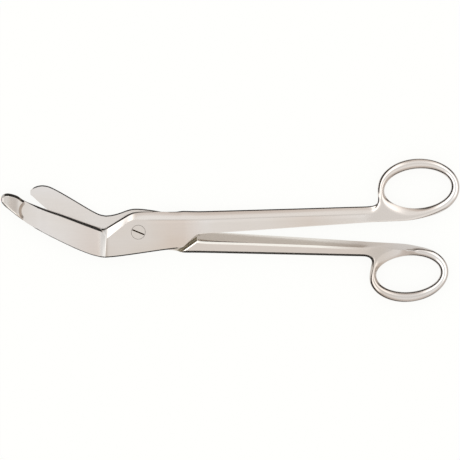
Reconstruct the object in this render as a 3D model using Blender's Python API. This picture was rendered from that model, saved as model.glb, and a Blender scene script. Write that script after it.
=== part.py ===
# Bandage scissors: two crossed halves with angled jaws and one slotted pivot screw.
# The shears lie flat on a table, jaws a little open, as they are in the photo.
# World frame: the pivot axis is Z and passes through the origin, the table is z = 0.
# The jaws point to -X, the finger rings to +X. All sizes are in millimetres until a mesh is made.
#
# Each half is first drawn in its own frame: z = 0 is the plane where the halves meet, +z is its
# outer face and its shank lies on the +y side. The plain half is then turned over about X.

import math

import bmesh
import bpy
from mathutils import Matrix, Vector

MM = 0.001

# Length of the plan, probe tip to the end of the upper ring. The outlines are enlarged to it.
LENGTH = 203.25

# Heights, measured from the meeting plane in the frame of a half
LAP_Z = 3.0            # the meeting plane itself, above the table
LAP_GAP = 0.3          # free space between the two halves on that plane
FACE_Z = 3.0           # outer face of the box and of the shank beside it
BACK_Z = -2.6          # inner side of the full shank
RING_HALF_THICK = 2.15
BLADE_TIP_Z = 1.9      # outer face of a blade at its tip
BLADE_ROOT_Z = 2.2     # the same where it starts to curve up to the box
EDGE_Z = 0.5           # height of the cutting edge
NOSE_Z = 2.9           # top of the probe nose
NOSE_BACK_Z = -2.3     # and its underside, which reaches past the plain blade
NOSE_TIP_SHARE = 0.72  # how much of that thickness is left at its very end
CHAMFER_Z = 1.2        # outer corner of the wide outer chamfer of the shank
CHAMFER_END_Z = 0.7    # the same where the shank meets the ring
BOX_CHAMFER_Z = 1.45   # the same on the slanted side of the box
SCARF_LAND = (0.2, 0.6)  # what the slanted inner face leaves of the thickness, box and ring end
RELIEF_Z = 1.97        # blade face where it is milled down behind the nose

# Small bevels: width across the face, then fall of the face
BLADE_BACK_BEVEL = (0.35, 0.3)
BOX_BEVEL = (0.5, 0.45)
SHANK_BEVEL = (0.3, 0.15)
UNDER_BEVEL = (0.9, 0.8)
NOSE_EDGE_BEVEL = (1.35, 1.08)
NOSE_BACK_BEVEL = (0.6, 0.25)
NOSE_FOOT_BEVEL = (0.38, 0.22)
SCARF_BEVEL = (0.75, 0.32)
SCARF_RIDGE = (0.4, 0.34)
RIDGE_FADE = (38.0, 56.0)    # the ridge runs out into the slanted face between these two x
OUTER_BEVEL = (0.45, 0.38)   # at the foot of the long outer chamfer
BOX_FOOT_BEVEL = (0.8, 0.56) # the same on the slanted side of the box
NECK_BEVEL = (0.1, 0.1)      # the same beside the pivot
LAP_BEVEL = (0.55, 0.43)     # along the spine at the meeting plane
CORNER = 0.3
EDGE_BEVEL_TIP = 0.5     # bevel along the cutting edge, at the tip
EDGE_BEVEL_ROOT = 1.3    # and at the root
EDGE_BEVEL_SHARE = 0.8   # how much of that width is ground, above the steep honed strip
EDGE_BEVEL_SLOPE = 0.82
CREST_SLOPE = 0.58       # steepest fall of the chamfer where the slanted side of the box ends
CHAMFER_BELLY = 0.42     # share of the chamfer's fall that its inner half takes

# Pivot screw
HEAD_R = 3.15
HEAD_Z = FACE_Z - 0.05
HEAD_EDGE = 0.35
HEAD_ROUND = 0.1
SHAFT_R = 1.75
SHAFT_ROUND = 0.25
SLOT_WIDTH = 0.62
SLOT_DEPTH = 0.9
SLOT_ANGLE = math.radians(-22.5)
FIT = 0.3              # free space around the screw
CONE_DROP = 0.12       # the countersink sits this much deeper than the head
PAST = 5.0             # how far cutters reach past what they cut

# Level of detail
SMOOTH_STEPS = 2
FLAT_ANGLE = math.radians(1.5)
ROUND_STEPS = 48
ARC_STEPS = 10

# Shank and box, shared by both halves. Points of the plan are (x, y).
BOX_OUTER = [(-15.7, 1.3), (-14.1, 2.05), (-10.3, 4.4), (-6.3, 6.9), (-2.7, 9.1)]
SHANK_OUTER = [(27.4, 9.2), (45.1, 9.63), (71.6, 10.28), (89.3, 10.8), (104.6, 11.15)]
PROBE_BOX = [(3.0, 9.1), (9.7, 9.05), (16.7, 8.9), (18.9, 9.4)]
PLAIN_BOX = [(3.0, 8.6), (9.7, 7.7), (16.7, 8.0), (18.4, 8.9), (20.6, 9.15)]
BOX_RIDGE = [(-15.7, 0.1), (-14.1, -2.9), (-10.3, 0.1), (-6.3, 3.2), (-2.7, 5.95), (3.0, 5.45),
             (27.4, 5.4), (62.8, 6.55), (89.3, 7.26), (104.0, 7.8)]
SCARF_WIDTH = [(25.8, 4.9), (40.6, 4.35), (71.6, 3.55), (104.0, 2.9)]

# Plan of the cut below the meeting plane: its left end at each jaw, then the shoulder
NOSE_STEP = [(-52.9, 25.0), (-52.9, 14.5), (-53.3, 11.0), (-51.6, 6.0), (-51.6, -25.0)]
CLEAR_OF_TIP = [(-60.0, 25.0), (-60.0, -25.0)]
SHOULDER = [(26.3, -25.0), (26.3, 3.9), (18.0, 9.7), (18.0, 25.0)]
SHOULDER_BEVEL = (0.6, 0.25)

# A groove with sloping sides is milled along the foot of the shoulder wall, so that the edge of
# the other box clears the corner
GROOVE_ENDS = [(17.0, 10.4), (25.9, 4.18)]
GROOVE_WIDTH, GROOVE_DEPTH = 2.1, 0.68
GROOVE_FLOOR = 0.12      # width of its flat floor
GROOVE_OFF = 0.15        # it stays this far from the wall

# The blade face behind the nose was milled with a round cutter
RELIEF_CENTRE, RELIEF_R, RELIEF_FLOOR_R = (-48.1, 9.5), 4.85, 3.6
RELIEF_TURN = (127, 222)
RELIEF_TOP = NOSE_Z + 0.5
RELIEF_END = [(-51.2, 5.2), (-50.8, -2.0), (-45.0, -2.0), (-45.0, 20.0), (-50.0, 20.0),
              (-50.4, 14.6)]

# Jaws and inner edges, each in the frame of its own half
PROBE_OUTER = [(-61.1, 15.9), (-59.2, 17.6), (-56.8, 17.4), (-54.5, 16.73), (-53.0, 16.04),
               (-51.7, 14.85), (-49.7, 13.8), (-46.6, 12.6), (-40.8, 10.25), (-34.6, 8.4),
               (-28.0, 5.95), (-21.3, 3.6), (-19.6, 3.0), (-17.4, 2.25)]
PROBE_INNER = [(-61.1, 13.6), (-59.2, 11.7), (-56.8, 9.88), (-54.5, 7.93), (-53.0, 6.84),
               (-51.7, 5.91), (-49.7, 4.41), (-46.6, 2.35), (-40.8, -0.92), (-34.6, -4.0),
               (-28.0, -7.26), (-21.3, -9.87), (-17.4, -10.9), (-15.7, -11.2),
               (-14.1, -11.25), (-10.3, -10.94), (-2.7, -9.95), (9.7, -8.16), (16.7, -7.3),
               (19.8, -6.7), (20.6, -6.0), (25.4, -1.5), (26.4, -1.0), (29.6, -0.6), (40.6, -0.05),
               (58.3, 1.13), (76.1, 2.28), (91.6, 3.31), (104.0, 4.15)]
PLAIN_OUTER = [(-47.9, -16.86), (-46.6, -15.8), (-45.0, -14.29), (-43.0, -12.43),
               (-40.4, -10.2), (-38.2, -8.6), (-34.6, -6.5), (-28.0, -3.63), (-21.3, -0.89),
               (-19.6, -0.18), (-17.4, 0.74)]
PLAIN_INNER = [(-47.9, -18.7), (-46.6, -20.01), (-45.0, -20.66), (-43.0, -21.09),
               (-40.4, -20.8), (-38.2, -19.89), (-34.6, -18.0), (-28.0, -14.09),
               (-21.3, -10.01), (-17.4, -8.0), (-14.1, -7.36), (-10.3, -7.87), (-6.3, -9.33),
               (-2.7, -10.66), (3.0, -10.26), (9.7, -9.22), (16.7, -7.5), (19.8, -6.7),
               (20.6, -6.0), (25.4, -1.3), (26.4, -0.7), (29.6, -0.2), (40.6, 0.5), (58.3, 1.72),
               (76.1, 2.78), (91.6, 3.94), (104.0, 4.7)]

# Where sections are drawn around a finger ring, in degrees, and where the shank runs into it
RING_TURNS = [0, 18, 36, 54, 72, 90, 108, 126, 144, 162, 180, 193, 204, 217, 234, 252, 270, 288,
              306, 324, 342]
MOUTH = range(12, 16)

# Outer side of the ring sections where the slanted inner face runs out: share of the half width
# and of the half thickness
SCARF_SECTIONS = {15: [(1.0, 0.92), (1.0, 0.82), (1.0, 0.7)],
                  16: [(0.9, 0.9), (1.0, 0.76), (0.9, 0.5)],
                  17: [(0.7, 0.8), (1.0, 0.4), (0.8, -0.3)]}
ROUND_SECTION = [(0.9, 0.5), (1.0, 0.0), (0.9, -0.5)]
JOINT_SECTION = [(1.0, 0.9), (1.0, 0.0), (1.0, -0.9)]
INNER_SHARE, INNER_HIGH = 0.88, 0.5
SWELL_OUT, SWELL_UP = 1.03, 1.19   # smoothing draws a section in by about this much

# A finger ring is a low dome above a short wall, and the line between them is softly rounded.
# It is left out where the shank runs into the ring.
RING_CREASE = 0.25
BLEND = range(11, 18)

# How crisp the rails of the cage stay, by rail
RAILS = 12
NOSE_CREASES = {0: 0.9, 2: 0.6, 3: 0.8, 4: 0.8, 5: 0.8, 8: 0.2, 10: 0.3}
SOFT_RAILS = (1, )
CRISP, FADING = 1.0, 0.5

# Which corner of the ring's mouth each rail runs into
RAIL_ENDS = [0, 0, 1, 2, 3, 4, 5, 6, 6, 7, 8, 9]

# The first sections of the jaw with the nose belong to the nose, and reach under the relief
NOSE_SECTIONS = 7

# Where sections are drawn along the box and shank, and what lies between them
CREST_X = -14.1
BOX_STATIONS = [-15.7, CREST_X, -10.3, -6.3, -2.7, 3.0, 9.7, 16.7, 18.2, 19.8, 20.6, 25.4, 26.4,
                29.6, 40.6, 58.3, 76.1, 91.6, 98.5]
FLAT_STATIONS = range(5)    # the chamfer is one flat facet here
NECK_STATIONS = (5, 6, 7)   # and it has a finer bevel at its foot here
PIVOT_STATION = 8      # the box is drawn as far as here, and then the full shank
SCARF_STATION = 8      # the slanted inner face starts to open here
TAPER_STATION = 10     # it is fully open, and the shank grows thinner from here
RING_STATION = 17      # the crisp edges start to fade into the ring
JAW_TOP = [(-60.7, BLADE_TIP_Z), (-19.6, BLADE_ROOT_Z), (-17.4, 2.22), (-15.7, 2.32),
           (CREST_X, FACE_Z)]
CREST_LEAN = 0.07      # the crest between jaw and box is not quite square to the shank


def along(points, x):
    """Height of a broken line at x, held level past its ends."""
    if x <= points[0][0]:
        return points[0][1]
    for (x0, y0), (x1, y1) in zip(points, points[1:]):
        if x <= x1:
            return y0 + (y1 - y0) * (x - x0) / (x1 - x0)
    return points[-1][1]


def oval(half, tilt, turn):
    """Point of a tilted ellipse round its centre, at a turn of its own angle."""
    u, v = half[0] * math.cos(turn), half[1] * math.sin(turn)
    c, s = math.cos(tilt), math.sin(tilt)
    return Vector((u * c - v * s, u * s + v * c))


def share(x, start, end):
    """How far x has come from start to end, from 0 to 1."""
    return min(max((x - start) / (end - start), 0.0), 1.0)


def mix(a, b, part):
    return a + (b - a) * part


class Ring:
    """A finger ring: its hole and its outer oval, and the points where the shank runs into it.

    The points count sections from the right end of the ring, and are measured from its centre.
    """

    def __init__(self, centre, hole, hole_tilt, band, band_tilt, band_shift, joint):
        self.centre = Vector(centre)
        self.hole, self.hole_tilt = hole, hole_tilt
        self.band, self.band_tilt = band, band_tilt
        self.band_shift = Vector(band_shift)
        self.joint = joint

    def edges(self, k):
        """Inner and outer point of a section."""
        turn = math.radians(RING_TURNS[k])
        swell = 1 / (1 - (1 - math.cos(math.tau / len(RING_TURNS))) / 3)
        inside = self.centre + oval(self.hole, self.hole_tilt, turn) * swell
        if k in self.joint:
            return inside, self.centre + Vector(self.joint[k])
        outside = oval(self.band, self.band_tilt, turn) * swell
        return inside, self.centre + self.band_shift + outside


class Half:
    """The outline and thickness of one half, in its own frame."""

    def __init__(self, outer, box, inner, nose_sections, ring, shank_end):
        self.outer = outer + BOX_OUTER + box + SHANK_OUTER
        self.inner = inner
        self.nose_sections = nose_sections
        self.ring = ring
        self.jaw_sections = len(outer)
        self.stations = [p[0] for p in outer] + BOX_STATIONS + [ring.centre.x - shank_end]

    def section(self, k):
        """Twelve points around a section, from the foot of the outer chamfer over the face."""
        x = self.stations[k]
        yo, yi = along(self.outer, x), along(self.inner, x)
        if k < self.nose_sections:
            return self.nose_section(x, yo, yi)
        wide, fall = LAP_BEVEL
        high = LAP_GAP / 2 + fall
        lap = yi + (high + EDGE_Z) * wide / fall
        back = [(yi, high), (lap, -EDGE_Z), (mix(lap, yo, 0.2), -EDGE_Z),
                (mix(lap, yo, 0.5), -EDGE_Z), (mix(lap, yo, 0.8), -EDGE_Z), (yo, -EDGE_Z)]
        if k < self.jaw_sections:
            tip, root = self.stations[0], self.stations[self.jaw_sections - 1]
            bevel = mix(EDGE_BEVEL_TIP, EDGE_BEVEL_ROOT, share(x, tip, root))
            ground = bevel * EDGE_BEVEL_SHARE
            top, yr = along(JAW_TOP, x), yo - bevel
            wide, fall = BLADE_BACK_BEVEL
            foot = (yr + ground, top - ground * EDGE_BEVEL_SLOPE)
            half_way = (yr + ground / 2, (top + foot[1]) / 2)
            face = [foot, half_way, (yr, top), (yi + wide, top), (yi, top - fall)]
            return face + back + [(yo, EDGE_Z)]
        k -= self.jaw_sections
        yr = along(BOX_RIDGE, x)
        bevel, drop = NECK_BEVEL if k in NECK_STATIONS else OUTER_BEVEL
        if k in FLAT_STATIONS:
            bevel, drop = BOX_FOOT_BEVEL
        if k < PIVOT_STATION:
            top = along(JAW_TOP, x)
            corner = BOX_CHAMFER_Z if k in FLAT_STATIONS else CHAMFER_Z
            slope = CREST_SLOPE if k == FLAT_STATIONS[-1] else EDGE_BEVEL_SLOPE
            corner = max(corner, top - (yo - bevel - yr) * slope)
            wide, fall = BOX_BEVEL
            back = [(yi, top - fall)] + back
        else:
            taper = share(x, BOX_STATIONS[TAPER_STATION], self.stations[-1])
            top, low = mix(FACE_Z, RING_HALF_THICK, taper), mix(BACK_Z, -RING_HALF_THICK, taper)
            corner = mix(CHAMFER_Z, CHAMFER_END_Z, taper)
            wide, fall = SHANK_BEVEL
            part = share(x, BOX_STATIONS[SCARF_STATION], BOX_STATIONS[TAPER_STATION])
            scarf = mix(low, top - fall - mix(*SCARF_LAND, taper), part)
            ys = yi + mix(CORNER, along(SCARF_WIDTH, x), part)
            slant = (scarf - low) / (ys - yi)
            strip, strip_fall = SCARF_BEVEL
            ridge, ridge_fall = SCARF_RIDGE
            ridge = mix(ridge, ridge_fall / max(slant, 1.0), share(x, *RIDGE_FADE))
            both = strip_fall + ridge_fall
            yq = max(yi, ys - both / max(slant, 1.0))
            high = (ys - yq) * slant
            under, rise = UNDER_BEVEL
            back = [(yi, top - fall), (yi, scarf), (yq, low + high),
                    (yq + ridge, low + high * strip_fall / both), (ys + strip, low),
                    (yo - under, low), (yo, low + rise)]
        foot = (yo - bevel, corner)
        half_way = 0.5 if k in FLAT_STATIONS else CHAMFER_BELLY
        belly = ((yr + foot[0]) / 2, mix(top, corner, half_way))
        return [foot, belly, (yr, top), (yi + wide, top)] + back + [(yo, corner - drop)]

    def nose_section(self, x, yo, yi):
        """Twelve points around the blunt probe: its face is bevelled, its underside is round."""
        swell = mix(NOSE_TIP_SHARE, 1.0, share(x, self.stations[0], self.stations[2]))
        top, low = NOSE_Z * swell, NOSE_BACK_Z * swell
        width = yo - yi
        wide, fall = NOSE_EDGE_BEVEL
        back_wide, back_fall = NOSE_BACK_BEVEL
        foot_wide, foot_fall = NOSE_FOOT_BEVEL
        ledge = top - back_fall
        return [(yo, top - fall), (yo - wide / 2, top - fall / 2), (yo - wide, top),
                (yi + foot_wide + back_wide, top), (yi + foot_wide, ledge),
                (yi, ledge - foot_fall), (yi, low * 0.6),
                (yi + 0.15 * width, low), (yo - 0.5 * width, low), (yo - 0.2 * width, low * 0.9),
                (yo, low * 0.5), (yo, 0.0)]

    def cage(self):
        """Quad cage of the whole half: jaw, box, shank and the finger ring that it runs into."""
        bm = bmesh.new()
        crease = bm.edges.layers.float.new("crease_edge")
        rows = []
        for k, x in enumerate(self.stations):
            lean = CREST_LEAN if x == CREST_X else 0.0
            points = self.section(k)
            ridge = points[2][0]
            rows.append([bm.verts.new((x + lean * min(y - ridge, 0.0), y, z)) for y, z in points])
        bm.faces.new(rows[0])
        for a, b in zip(rows, rows[1:]):
            for i in range(RAILS):
                j = (i + 1) % RAILS
                bm.faces.new((a[i], a[j], b[j], b[i]))
        ring = self.ring_rows(bm)
        for k in range(len(ring)):
            a, b = ring[k], ring[(k + 1) % len(ring)]
            for i in range(8):
                j = (i + 1) % 8
                if i in (3, 4) and k in MOUTH[:-1]:
                    continue
                bm.faces.new((a[i], b[i], b[j], a[j]))
            for i in (1, 7) if k in BLEND else (1, 3, 5, 7):
                bm.edges.get((a[i], b[i]))[crease] = RING_CREASE
        mouth = [ring[k][3] for k in MOUTH] + [ring[MOUTH[-1]][4]]
        mouth += [ring[k][5] for k in reversed(MOUTH)] + [ring[MOUTH[0]][4]]
        end = rows[-1]
        for i in range(RAILS):
            j = (i + 1) % RAILS
            corners = [end[i], end[j], mouth[RAIL_ENDS[j]], mouth[RAIL_ENDS[i]]]
            bm.faces.new(list(dict.fromkeys(corners)))
        loose = [v for v in bm.verts if not v.link_faces]
        bmesh.ops.delete(bm, geom=loose, context="VERTS")
        self.mark(bm, rows, crease)
        bmesh.ops.recalc_face_normals(bm, faces=bm.faces)
        return bm

    def ring_rows(self, bm):
        """Eight-sided sections around the finger ring."""
        rows = []
        high = RING_HALF_THICK * SWELL_UP
        for k in range(len(RING_TURNS)):
            inside, outside = self.ring.edges(k)
            middle = (inside + outside) / 2
            reach = (outside - inside) / 2 * SWELL_OUT
            outer = JOINT_SECTION if k in self.ring.joint else ROUND_SECTION
            outer = SCARF_SECTIONS.get(k, outer)
            inner = [(-INNER_SHARE, -INNER_HIGH), (-1.0, 0.0), (-INNER_SHARE, INNER_HIGH)]
            shape = inner[1:] + [(0.0, 1.0)] + outer + [(0.0, -1.0)] + inner[:1]
            row = []
            for out, up in shape:
                p = middle + reach * out
                row.append(bm.verts.new((p.x, p.y, up * high)))
            rows.append(row)
        return rows

    def mark(self, bm, rows, crease):
        """Keeps the machined edges crisp and lets them run out into the ring."""
        ring_from = self.jaw_sections + RING_STATION
        for k, (a, b) in enumerate(zip(rows, rows[1:])):
            if k < self.nose_sections:
                sharp = NOSE_CREASES
            else:
                rails = [i for i in range(RAILS) if i not in SOFT_RAILS]
                sharp = dict.fromkeys(rails, CRISP if k < ring_from else FADING)
            for i, value in sharp.items():
                bm.edges.get((a[i], b[i]))[crease] = value
        crest = rows[self.jaw_sections + 1]
        for i in (2, 3):
            bm.edges.get((crest[i], crest[i + 1]))[crease] = CRISP
        if not self.nose_sections:
            for i in range(RAILS):
                bm.edges.get((rows[0][i], rows[0][(i + 1) % RAILS]))[crease] = CRISP


UPPER_RING = Ring(
    centre=(124.0, 19.0), hole=(14.86, 8.69), hole_tilt=math.radians(4.64),
    band=(18.15, 13.05), band_tilt=math.radians(1.1), band_shift=(0.35, 0.22),
    joint={11: (-17.6, -3.6), 12: (-17.6, -6.3), 13: (-16.8, -9.2), 14: (-13.7, -12.4),
           15: (-8.0, -14.5), 16: (-1.4, -14.0)})
LOWER_RING = Ring(
    centre=(119.7, 18.88), hole=(14.21, 7.98), hole_tilt=math.radians(-4.64),
    band=(17.7, 12.35), band_tilt=math.radians(-7.0), band_shift=(0.12, 0.12),
    joint={11: (-16.5, -3.4), 12: (-15.9, -6.1), 13: (-15.1, -9.0), 14: (-12.1, -12.0),
           15: (-6.2, -13.6), 16: (0.1, -13.2)})
PROBE_HALF = Half(PROBE_OUTER, PROBE_BOX, PROBE_INNER, NOSE_SECTIONS, UPPER_RING, 19.4)
PLAIN_HALF = Half(PLAIN_OUTER, PLAIN_BOX, PLAIN_INNER, 0, LOWER_RING, 18.1)
PLAN_LENGTH = UPPER_RING.centre.x + UPPER_RING.band[0] - PROBE_OUTER[0][0]
PLAN = LENGTH / PLAN_LENGTH


def material(name, colour, rough):
    mat = bpy.data.materials.new(name)
    mat.use_nodes = True
    shader = mat.node_tree.nodes["Principled BSDF"]
    shader.inputs["Base Color"].default_value = (*colour, 1.0)
    shader.inputs["Metallic"].default_value = 1.0
    shader.inputs["Roughness"].default_value = rough
    return mat


def add(name, bm, mat=None):
    mesh = bpy.data.meshes.new(name)
    bm.to_mesh(mesh)
    bm.free()
    obj = bpy.data.objects.new(name, mesh)
    bpy.context.collection.objects.link(obj)
    if mat:
        mesh.materials.append(mat)
    return obj


def loft(levels):
    """Solid through outlines of as many points each, given as (height, points)."""
    bm = bmesh.new()
    rows = [[bm.verts.new((x * MM, y * MM, z * MM)) for x, y in points] for z, points in levels]
    bm.faces.new(rows[0])
    bm.faces.new(rows[-1])
    for a, b in zip(rows, rows[1:]):
        for i in range(len(a)):
            j = (i + 1) % len(a)
            bm.faces.new((a[i], a[j], b[j], b[i]))
    bmesh.ops.recalc_face_normals(bm, faces=bm.faces)
    return bm


def turned(profile):
    """Solid turned about Z from (radius, height) points that start and end on the axis."""
    bm = bmesh.new()
    ends = [bm.verts.new((0, 0, profile[0][1] * MM)), bm.verts.new((0, 0, profile[-1][1] * MM))]
    rows = []
    for r, z in profile[1:-1]:
        turn = [math.tau * k / ROUND_STEPS for k in range(ROUND_STEPS)]
        rows.append([bm.verts.new((r * MM * math.cos(t), r * MM * math.sin(t), z * MM))
                     for t in turn])
    for k in range(ROUND_STEPS):
        n = (k + 1) % ROUND_STEPS
        bm.faces.new((ends[0], rows[0][n], rows[0][k]))
        bm.faces.new((ends[1], rows[-1][k], rows[-1][n]))
        for a, b in zip(rows, rows[1:]):
            bm.faces.new((a[k], a[n], b[n], b[k]))
    bmesh.ops.recalc_face_normals(bm, faces=bm.faces)
    return bm


def cutter(name, bm):
    obj = add(name, bm)
    obj.hide_render = True
    obj.display_type = "WIRE"
    return obj


def cut(obj, tool):
    mod = obj.modifiers.new("cut_" + tool.name, "BOOLEAN")
    mod.operation = "DIFFERENCE"
    mod.solver = "EXACT"
    mod.object = tool


def lap_cut(lap_start):
    """Takes away all below the meeting plane, up to the bevelled shoulder."""
    bevel, rise = SHOULDER_BEVEL
    levels = []
    for z, back in ((LAP_GAP / 2, 0.0), (BACK_Z + rise, 0.0),
                    (BACK_Z - PAST, (rise + PAST) * bevel / rise)):
        (x0, y0), (x1, y1), (x2, y2), (x3, y3) = SHOULDER
        points = lap_start + [(x0, y0), (x1, y1 + back), (x2, y2 + back), (x3, y3)]
        levels.append((z, [(x * PLAN, y * PLAN) for x, y in points]))
    return loft(levels)


def groove_cut():
    """The groove in the meeting plane along the foot of the shoulder wall."""
    (x0, y0), (x1, y1) = GROOVE_ENDS
    slope = (GROOVE_WIDTH - GROOVE_FLOOR) / 2 / GROOVE_DEPTH
    middle = GROOVE_OFF + GROOVE_WIDTH / 2
    levels = []
    for z in (0.0, LAP_GAP / 2 + GROOVE_DEPTH):
        half = GROOVE_FLOOR / 2 + (LAP_GAP / 2 + GROOVE_DEPTH - z) * slope
        near, far = middle - half, middle + half
        points = [(x0, y0 - near), (x1, y1 - near), (x1, y1 - far), (x0, y0 - far)]
        levels.append((z, [(x * PLAN, y * PLAN) for x, y in points]))
    return loft(levels)


def relief_cut():
    """Takes the blade down behind the nose, as far as a round cutter with a sloped rim reached."""
    first, last = RELIEF_TURN
    grow = (RELIEF_R - RELIEF_FLOOR_R) / (NOSE_Z - RELIEF_Z)
    levels = []
    for z in (RELIEF_Z, RELIEF_TOP):
        r = RELIEF_FLOOR_R + (z - RELIEF_Z) * grow
        points = []
        for k in range(ARC_STEPS + 1):
            turn = math.radians(mix(first, last, k / ARC_STEPS))
            points.append((RELIEF_CENTRE[0] + r * math.cos(turn),
                           RELIEF_CENTRE[1] + r * math.sin(turn)))
        levels.append((z, [(x * PLAN, y * PLAN) for x, y in points + RELIEF_END]))
    return loft(levels)


def make_half(name, half, lap_start, bore, mat, turned_over):
    bm = half.cage()
    bmesh.ops.scale(bm, vec=(PLAN * MM, PLAN * MM, MM), verts=bm.verts)
    obj = add(name, bm, mat)
    smooth = obj.modifiers.new("smooth", "SUBSURF")
    smooth.levels = SMOOTH_STEPS
    smooth.render_levels = SMOOTH_STEPS
    tools = [cutter(name + "_lap", lap_cut(lap_start)), cutter(name + "_groove", groove_cut()),
             cutter(name + "_bore", turned(bore))]
    if half.nose_sections:
        tools.append(cutter(name + "_relief", relief_cut()))
    for tool in tools:
        cut(obj, tool)
    flat = obj.modifiers.new("flat", "DECIMATE")
    flat.decimate_type = "DISSOLVE"
    flat.angle_limit = FLAT_ANGLE
    place = Matrix.Translation((0, 0, LAP_Z * MM))
    if turned_over:
        place = place @ Matrix.Rotation(math.pi, 4, "X")
    for item in [obj] + tools:
        item.data.transform(place)
    return obj


def make_screw(mat, cone_foot):
    bm = turned([(0, -LAP_Z), (SHAFT_R - SHAFT_ROUND, -LAP_Z), (SHAFT_R, -LAP_Z + SHAFT_ROUND),
                 (SHAFT_R, cone_foot), (HEAD_R, HEAD_Z - HEAD_EDGE),
                 (HEAD_R, HEAD_Z - HEAD_ROUND), (HEAD_R - HEAD_ROUND, HEAD_Z), (0, HEAD_Z)])
    obj = add("pivot_screw", bm, mat)
    reach, half = HEAD_R + PAST, SLOT_WIDTH / 2
    plan = [(-reach, -half), (reach, -half), (reach, half), (-reach, half)]
    slot = cutter("screw_slot", loft([(HEAD_Z - SLOT_DEPTH, plan), (HEAD_Z + PAST, plan)]))
    slot.data.transform(Matrix.Rotation(SLOT_ANGLE, 4, "Z"))
    cut(obj, slot)
    for item in (obj, slot):
        item.data.transform(Matrix.Translation((0, 0, LAP_Z * MM)))
    return obj


def main():
    for obj in list(bpy.data.objects):
        bpy.data.objects.remove(obj, do_unlink=True)
    steel = (0.62, 0.60, 0.57)
    hole, seat = SHAFT_R + FIT, HEAD_R + FIT
    cone_foot = HEAD_Z - HEAD_EDGE - (HEAD_R - SHAFT_R)
    head_bore = [(0, -PAST), (hole, -PAST), (hole, cone_foot - CONE_DROP),
                 (seat, HEAD_Z - HEAD_EDGE - CONE_DROP), (seat, PAST), (0, PAST)]
    thread_bore = [(0, -PAST), (hole, -PAST), (hole, PAST), (0, PAST)]
    make_half("probe_jaw_half", PROBE_HALF, NOSE_STEP, head_bore,
              material("front_steel", steel, 0.3), False)
    make_half("plain_jaw_half", PLAIN_HALF, CLEAR_OF_TIP, thread_bore,
              material("rear_steel", steel, 0.3), True)
    make_screw(material("screw_steel", (0.58, 0.57, 0.55), 0.25), cone_foot)


main()
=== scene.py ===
# %% [markdown]
# # Bandage scissors, seen from above
# This is a lesson in modelling a plain steel tool so that its machined faces read as metal.
# The tool is two crossed halves of stainless steel and one slotted pivot screw, lying on white.
# Each half is drawn as a coarse cage of cross sections, smoothed, and cut where the halves lap.
# Lengths are in millimetres until a mesh is made, because Blender itself counts in metres.

# %% Load the frame
import math

import bmesh
import bpy
from mathutils import Matrix, Vector


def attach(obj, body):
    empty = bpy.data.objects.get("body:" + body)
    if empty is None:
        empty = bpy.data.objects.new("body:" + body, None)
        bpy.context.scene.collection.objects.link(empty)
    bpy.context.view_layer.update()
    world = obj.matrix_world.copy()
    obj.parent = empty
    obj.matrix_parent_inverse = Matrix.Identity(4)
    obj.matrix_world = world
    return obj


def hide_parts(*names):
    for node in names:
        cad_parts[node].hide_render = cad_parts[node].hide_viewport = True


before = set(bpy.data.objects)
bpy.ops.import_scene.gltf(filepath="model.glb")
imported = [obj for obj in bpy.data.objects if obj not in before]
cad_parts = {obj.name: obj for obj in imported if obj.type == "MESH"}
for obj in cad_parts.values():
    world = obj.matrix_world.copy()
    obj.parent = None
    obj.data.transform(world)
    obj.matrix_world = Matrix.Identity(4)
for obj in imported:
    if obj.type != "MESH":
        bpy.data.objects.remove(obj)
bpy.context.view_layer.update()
MM = 0.001

# %% [markdown]
# ## The meeting plane
# The halves of a pair of scissors slide flat against each other, so one plane rules them both.
# Heights could be counted from the table, but then each half would need a set of its own.
# Here both are drawn face up, from the plane where they meet, and one is turned over at the end.

# %% Thickness
LAP_Z = 3.0               # the meeting plane, above the table
LAP_GAP = 0.3             # free space between the two halves on that plane
FACE_Z = 3.0              # outer face of the box and of the shank beside it
BACK_Z = -2.6             # inner side of the full shank
RING_HALF_THICK = 2.15
print("box", LAP_Z + FACE_Z, "mm, shank", FACE_Z - BACK_Z, "mm, rings", 2 * RING_HALF_THICK, "mm")

# %% [markdown]
# ## Broken lines
# Most sizes of a forging change along its length. A curve with handles could hold such a size,
# but a broken line of a few (x, value) points is easier to read and to change.
# Two small blends between numbers are all the other maths that the sections need.

# %% Broken line and blends
def along(points, x):
    """Height of a broken line at x, held level past its ends."""
    if x <= points[0][0]:
        return points[0][1]
    for (x0, y0), (x1, y1) in zip(points, points[1:]):
        if x <= x1:
            return y0 + (y1 - y0) * (x - x0) / (x1 - x0)
    return points[-1][1]


def share(x, start, end):
    """How far x has come from start to end, from 0 to 1."""
    return min(max((x - start) / (end - start), 0.0), 1.0)


def mix(a, b, part):
    return a + (b - a) * part


print("half way from face to back:", round(mix(FACE_Z, BACK_Z, 0.5), 2), "mm")

# %% [markdown]
# ## Box and shank from above
# The box is the boss around the pivot, and the shank is the long bar between it and the ring.
# Their outer edge falls away in one wide chamfer, which starts at a ridge along the flat face.
# The edges bend only at the box, so the points lie close together there and far apart behind it.

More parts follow.
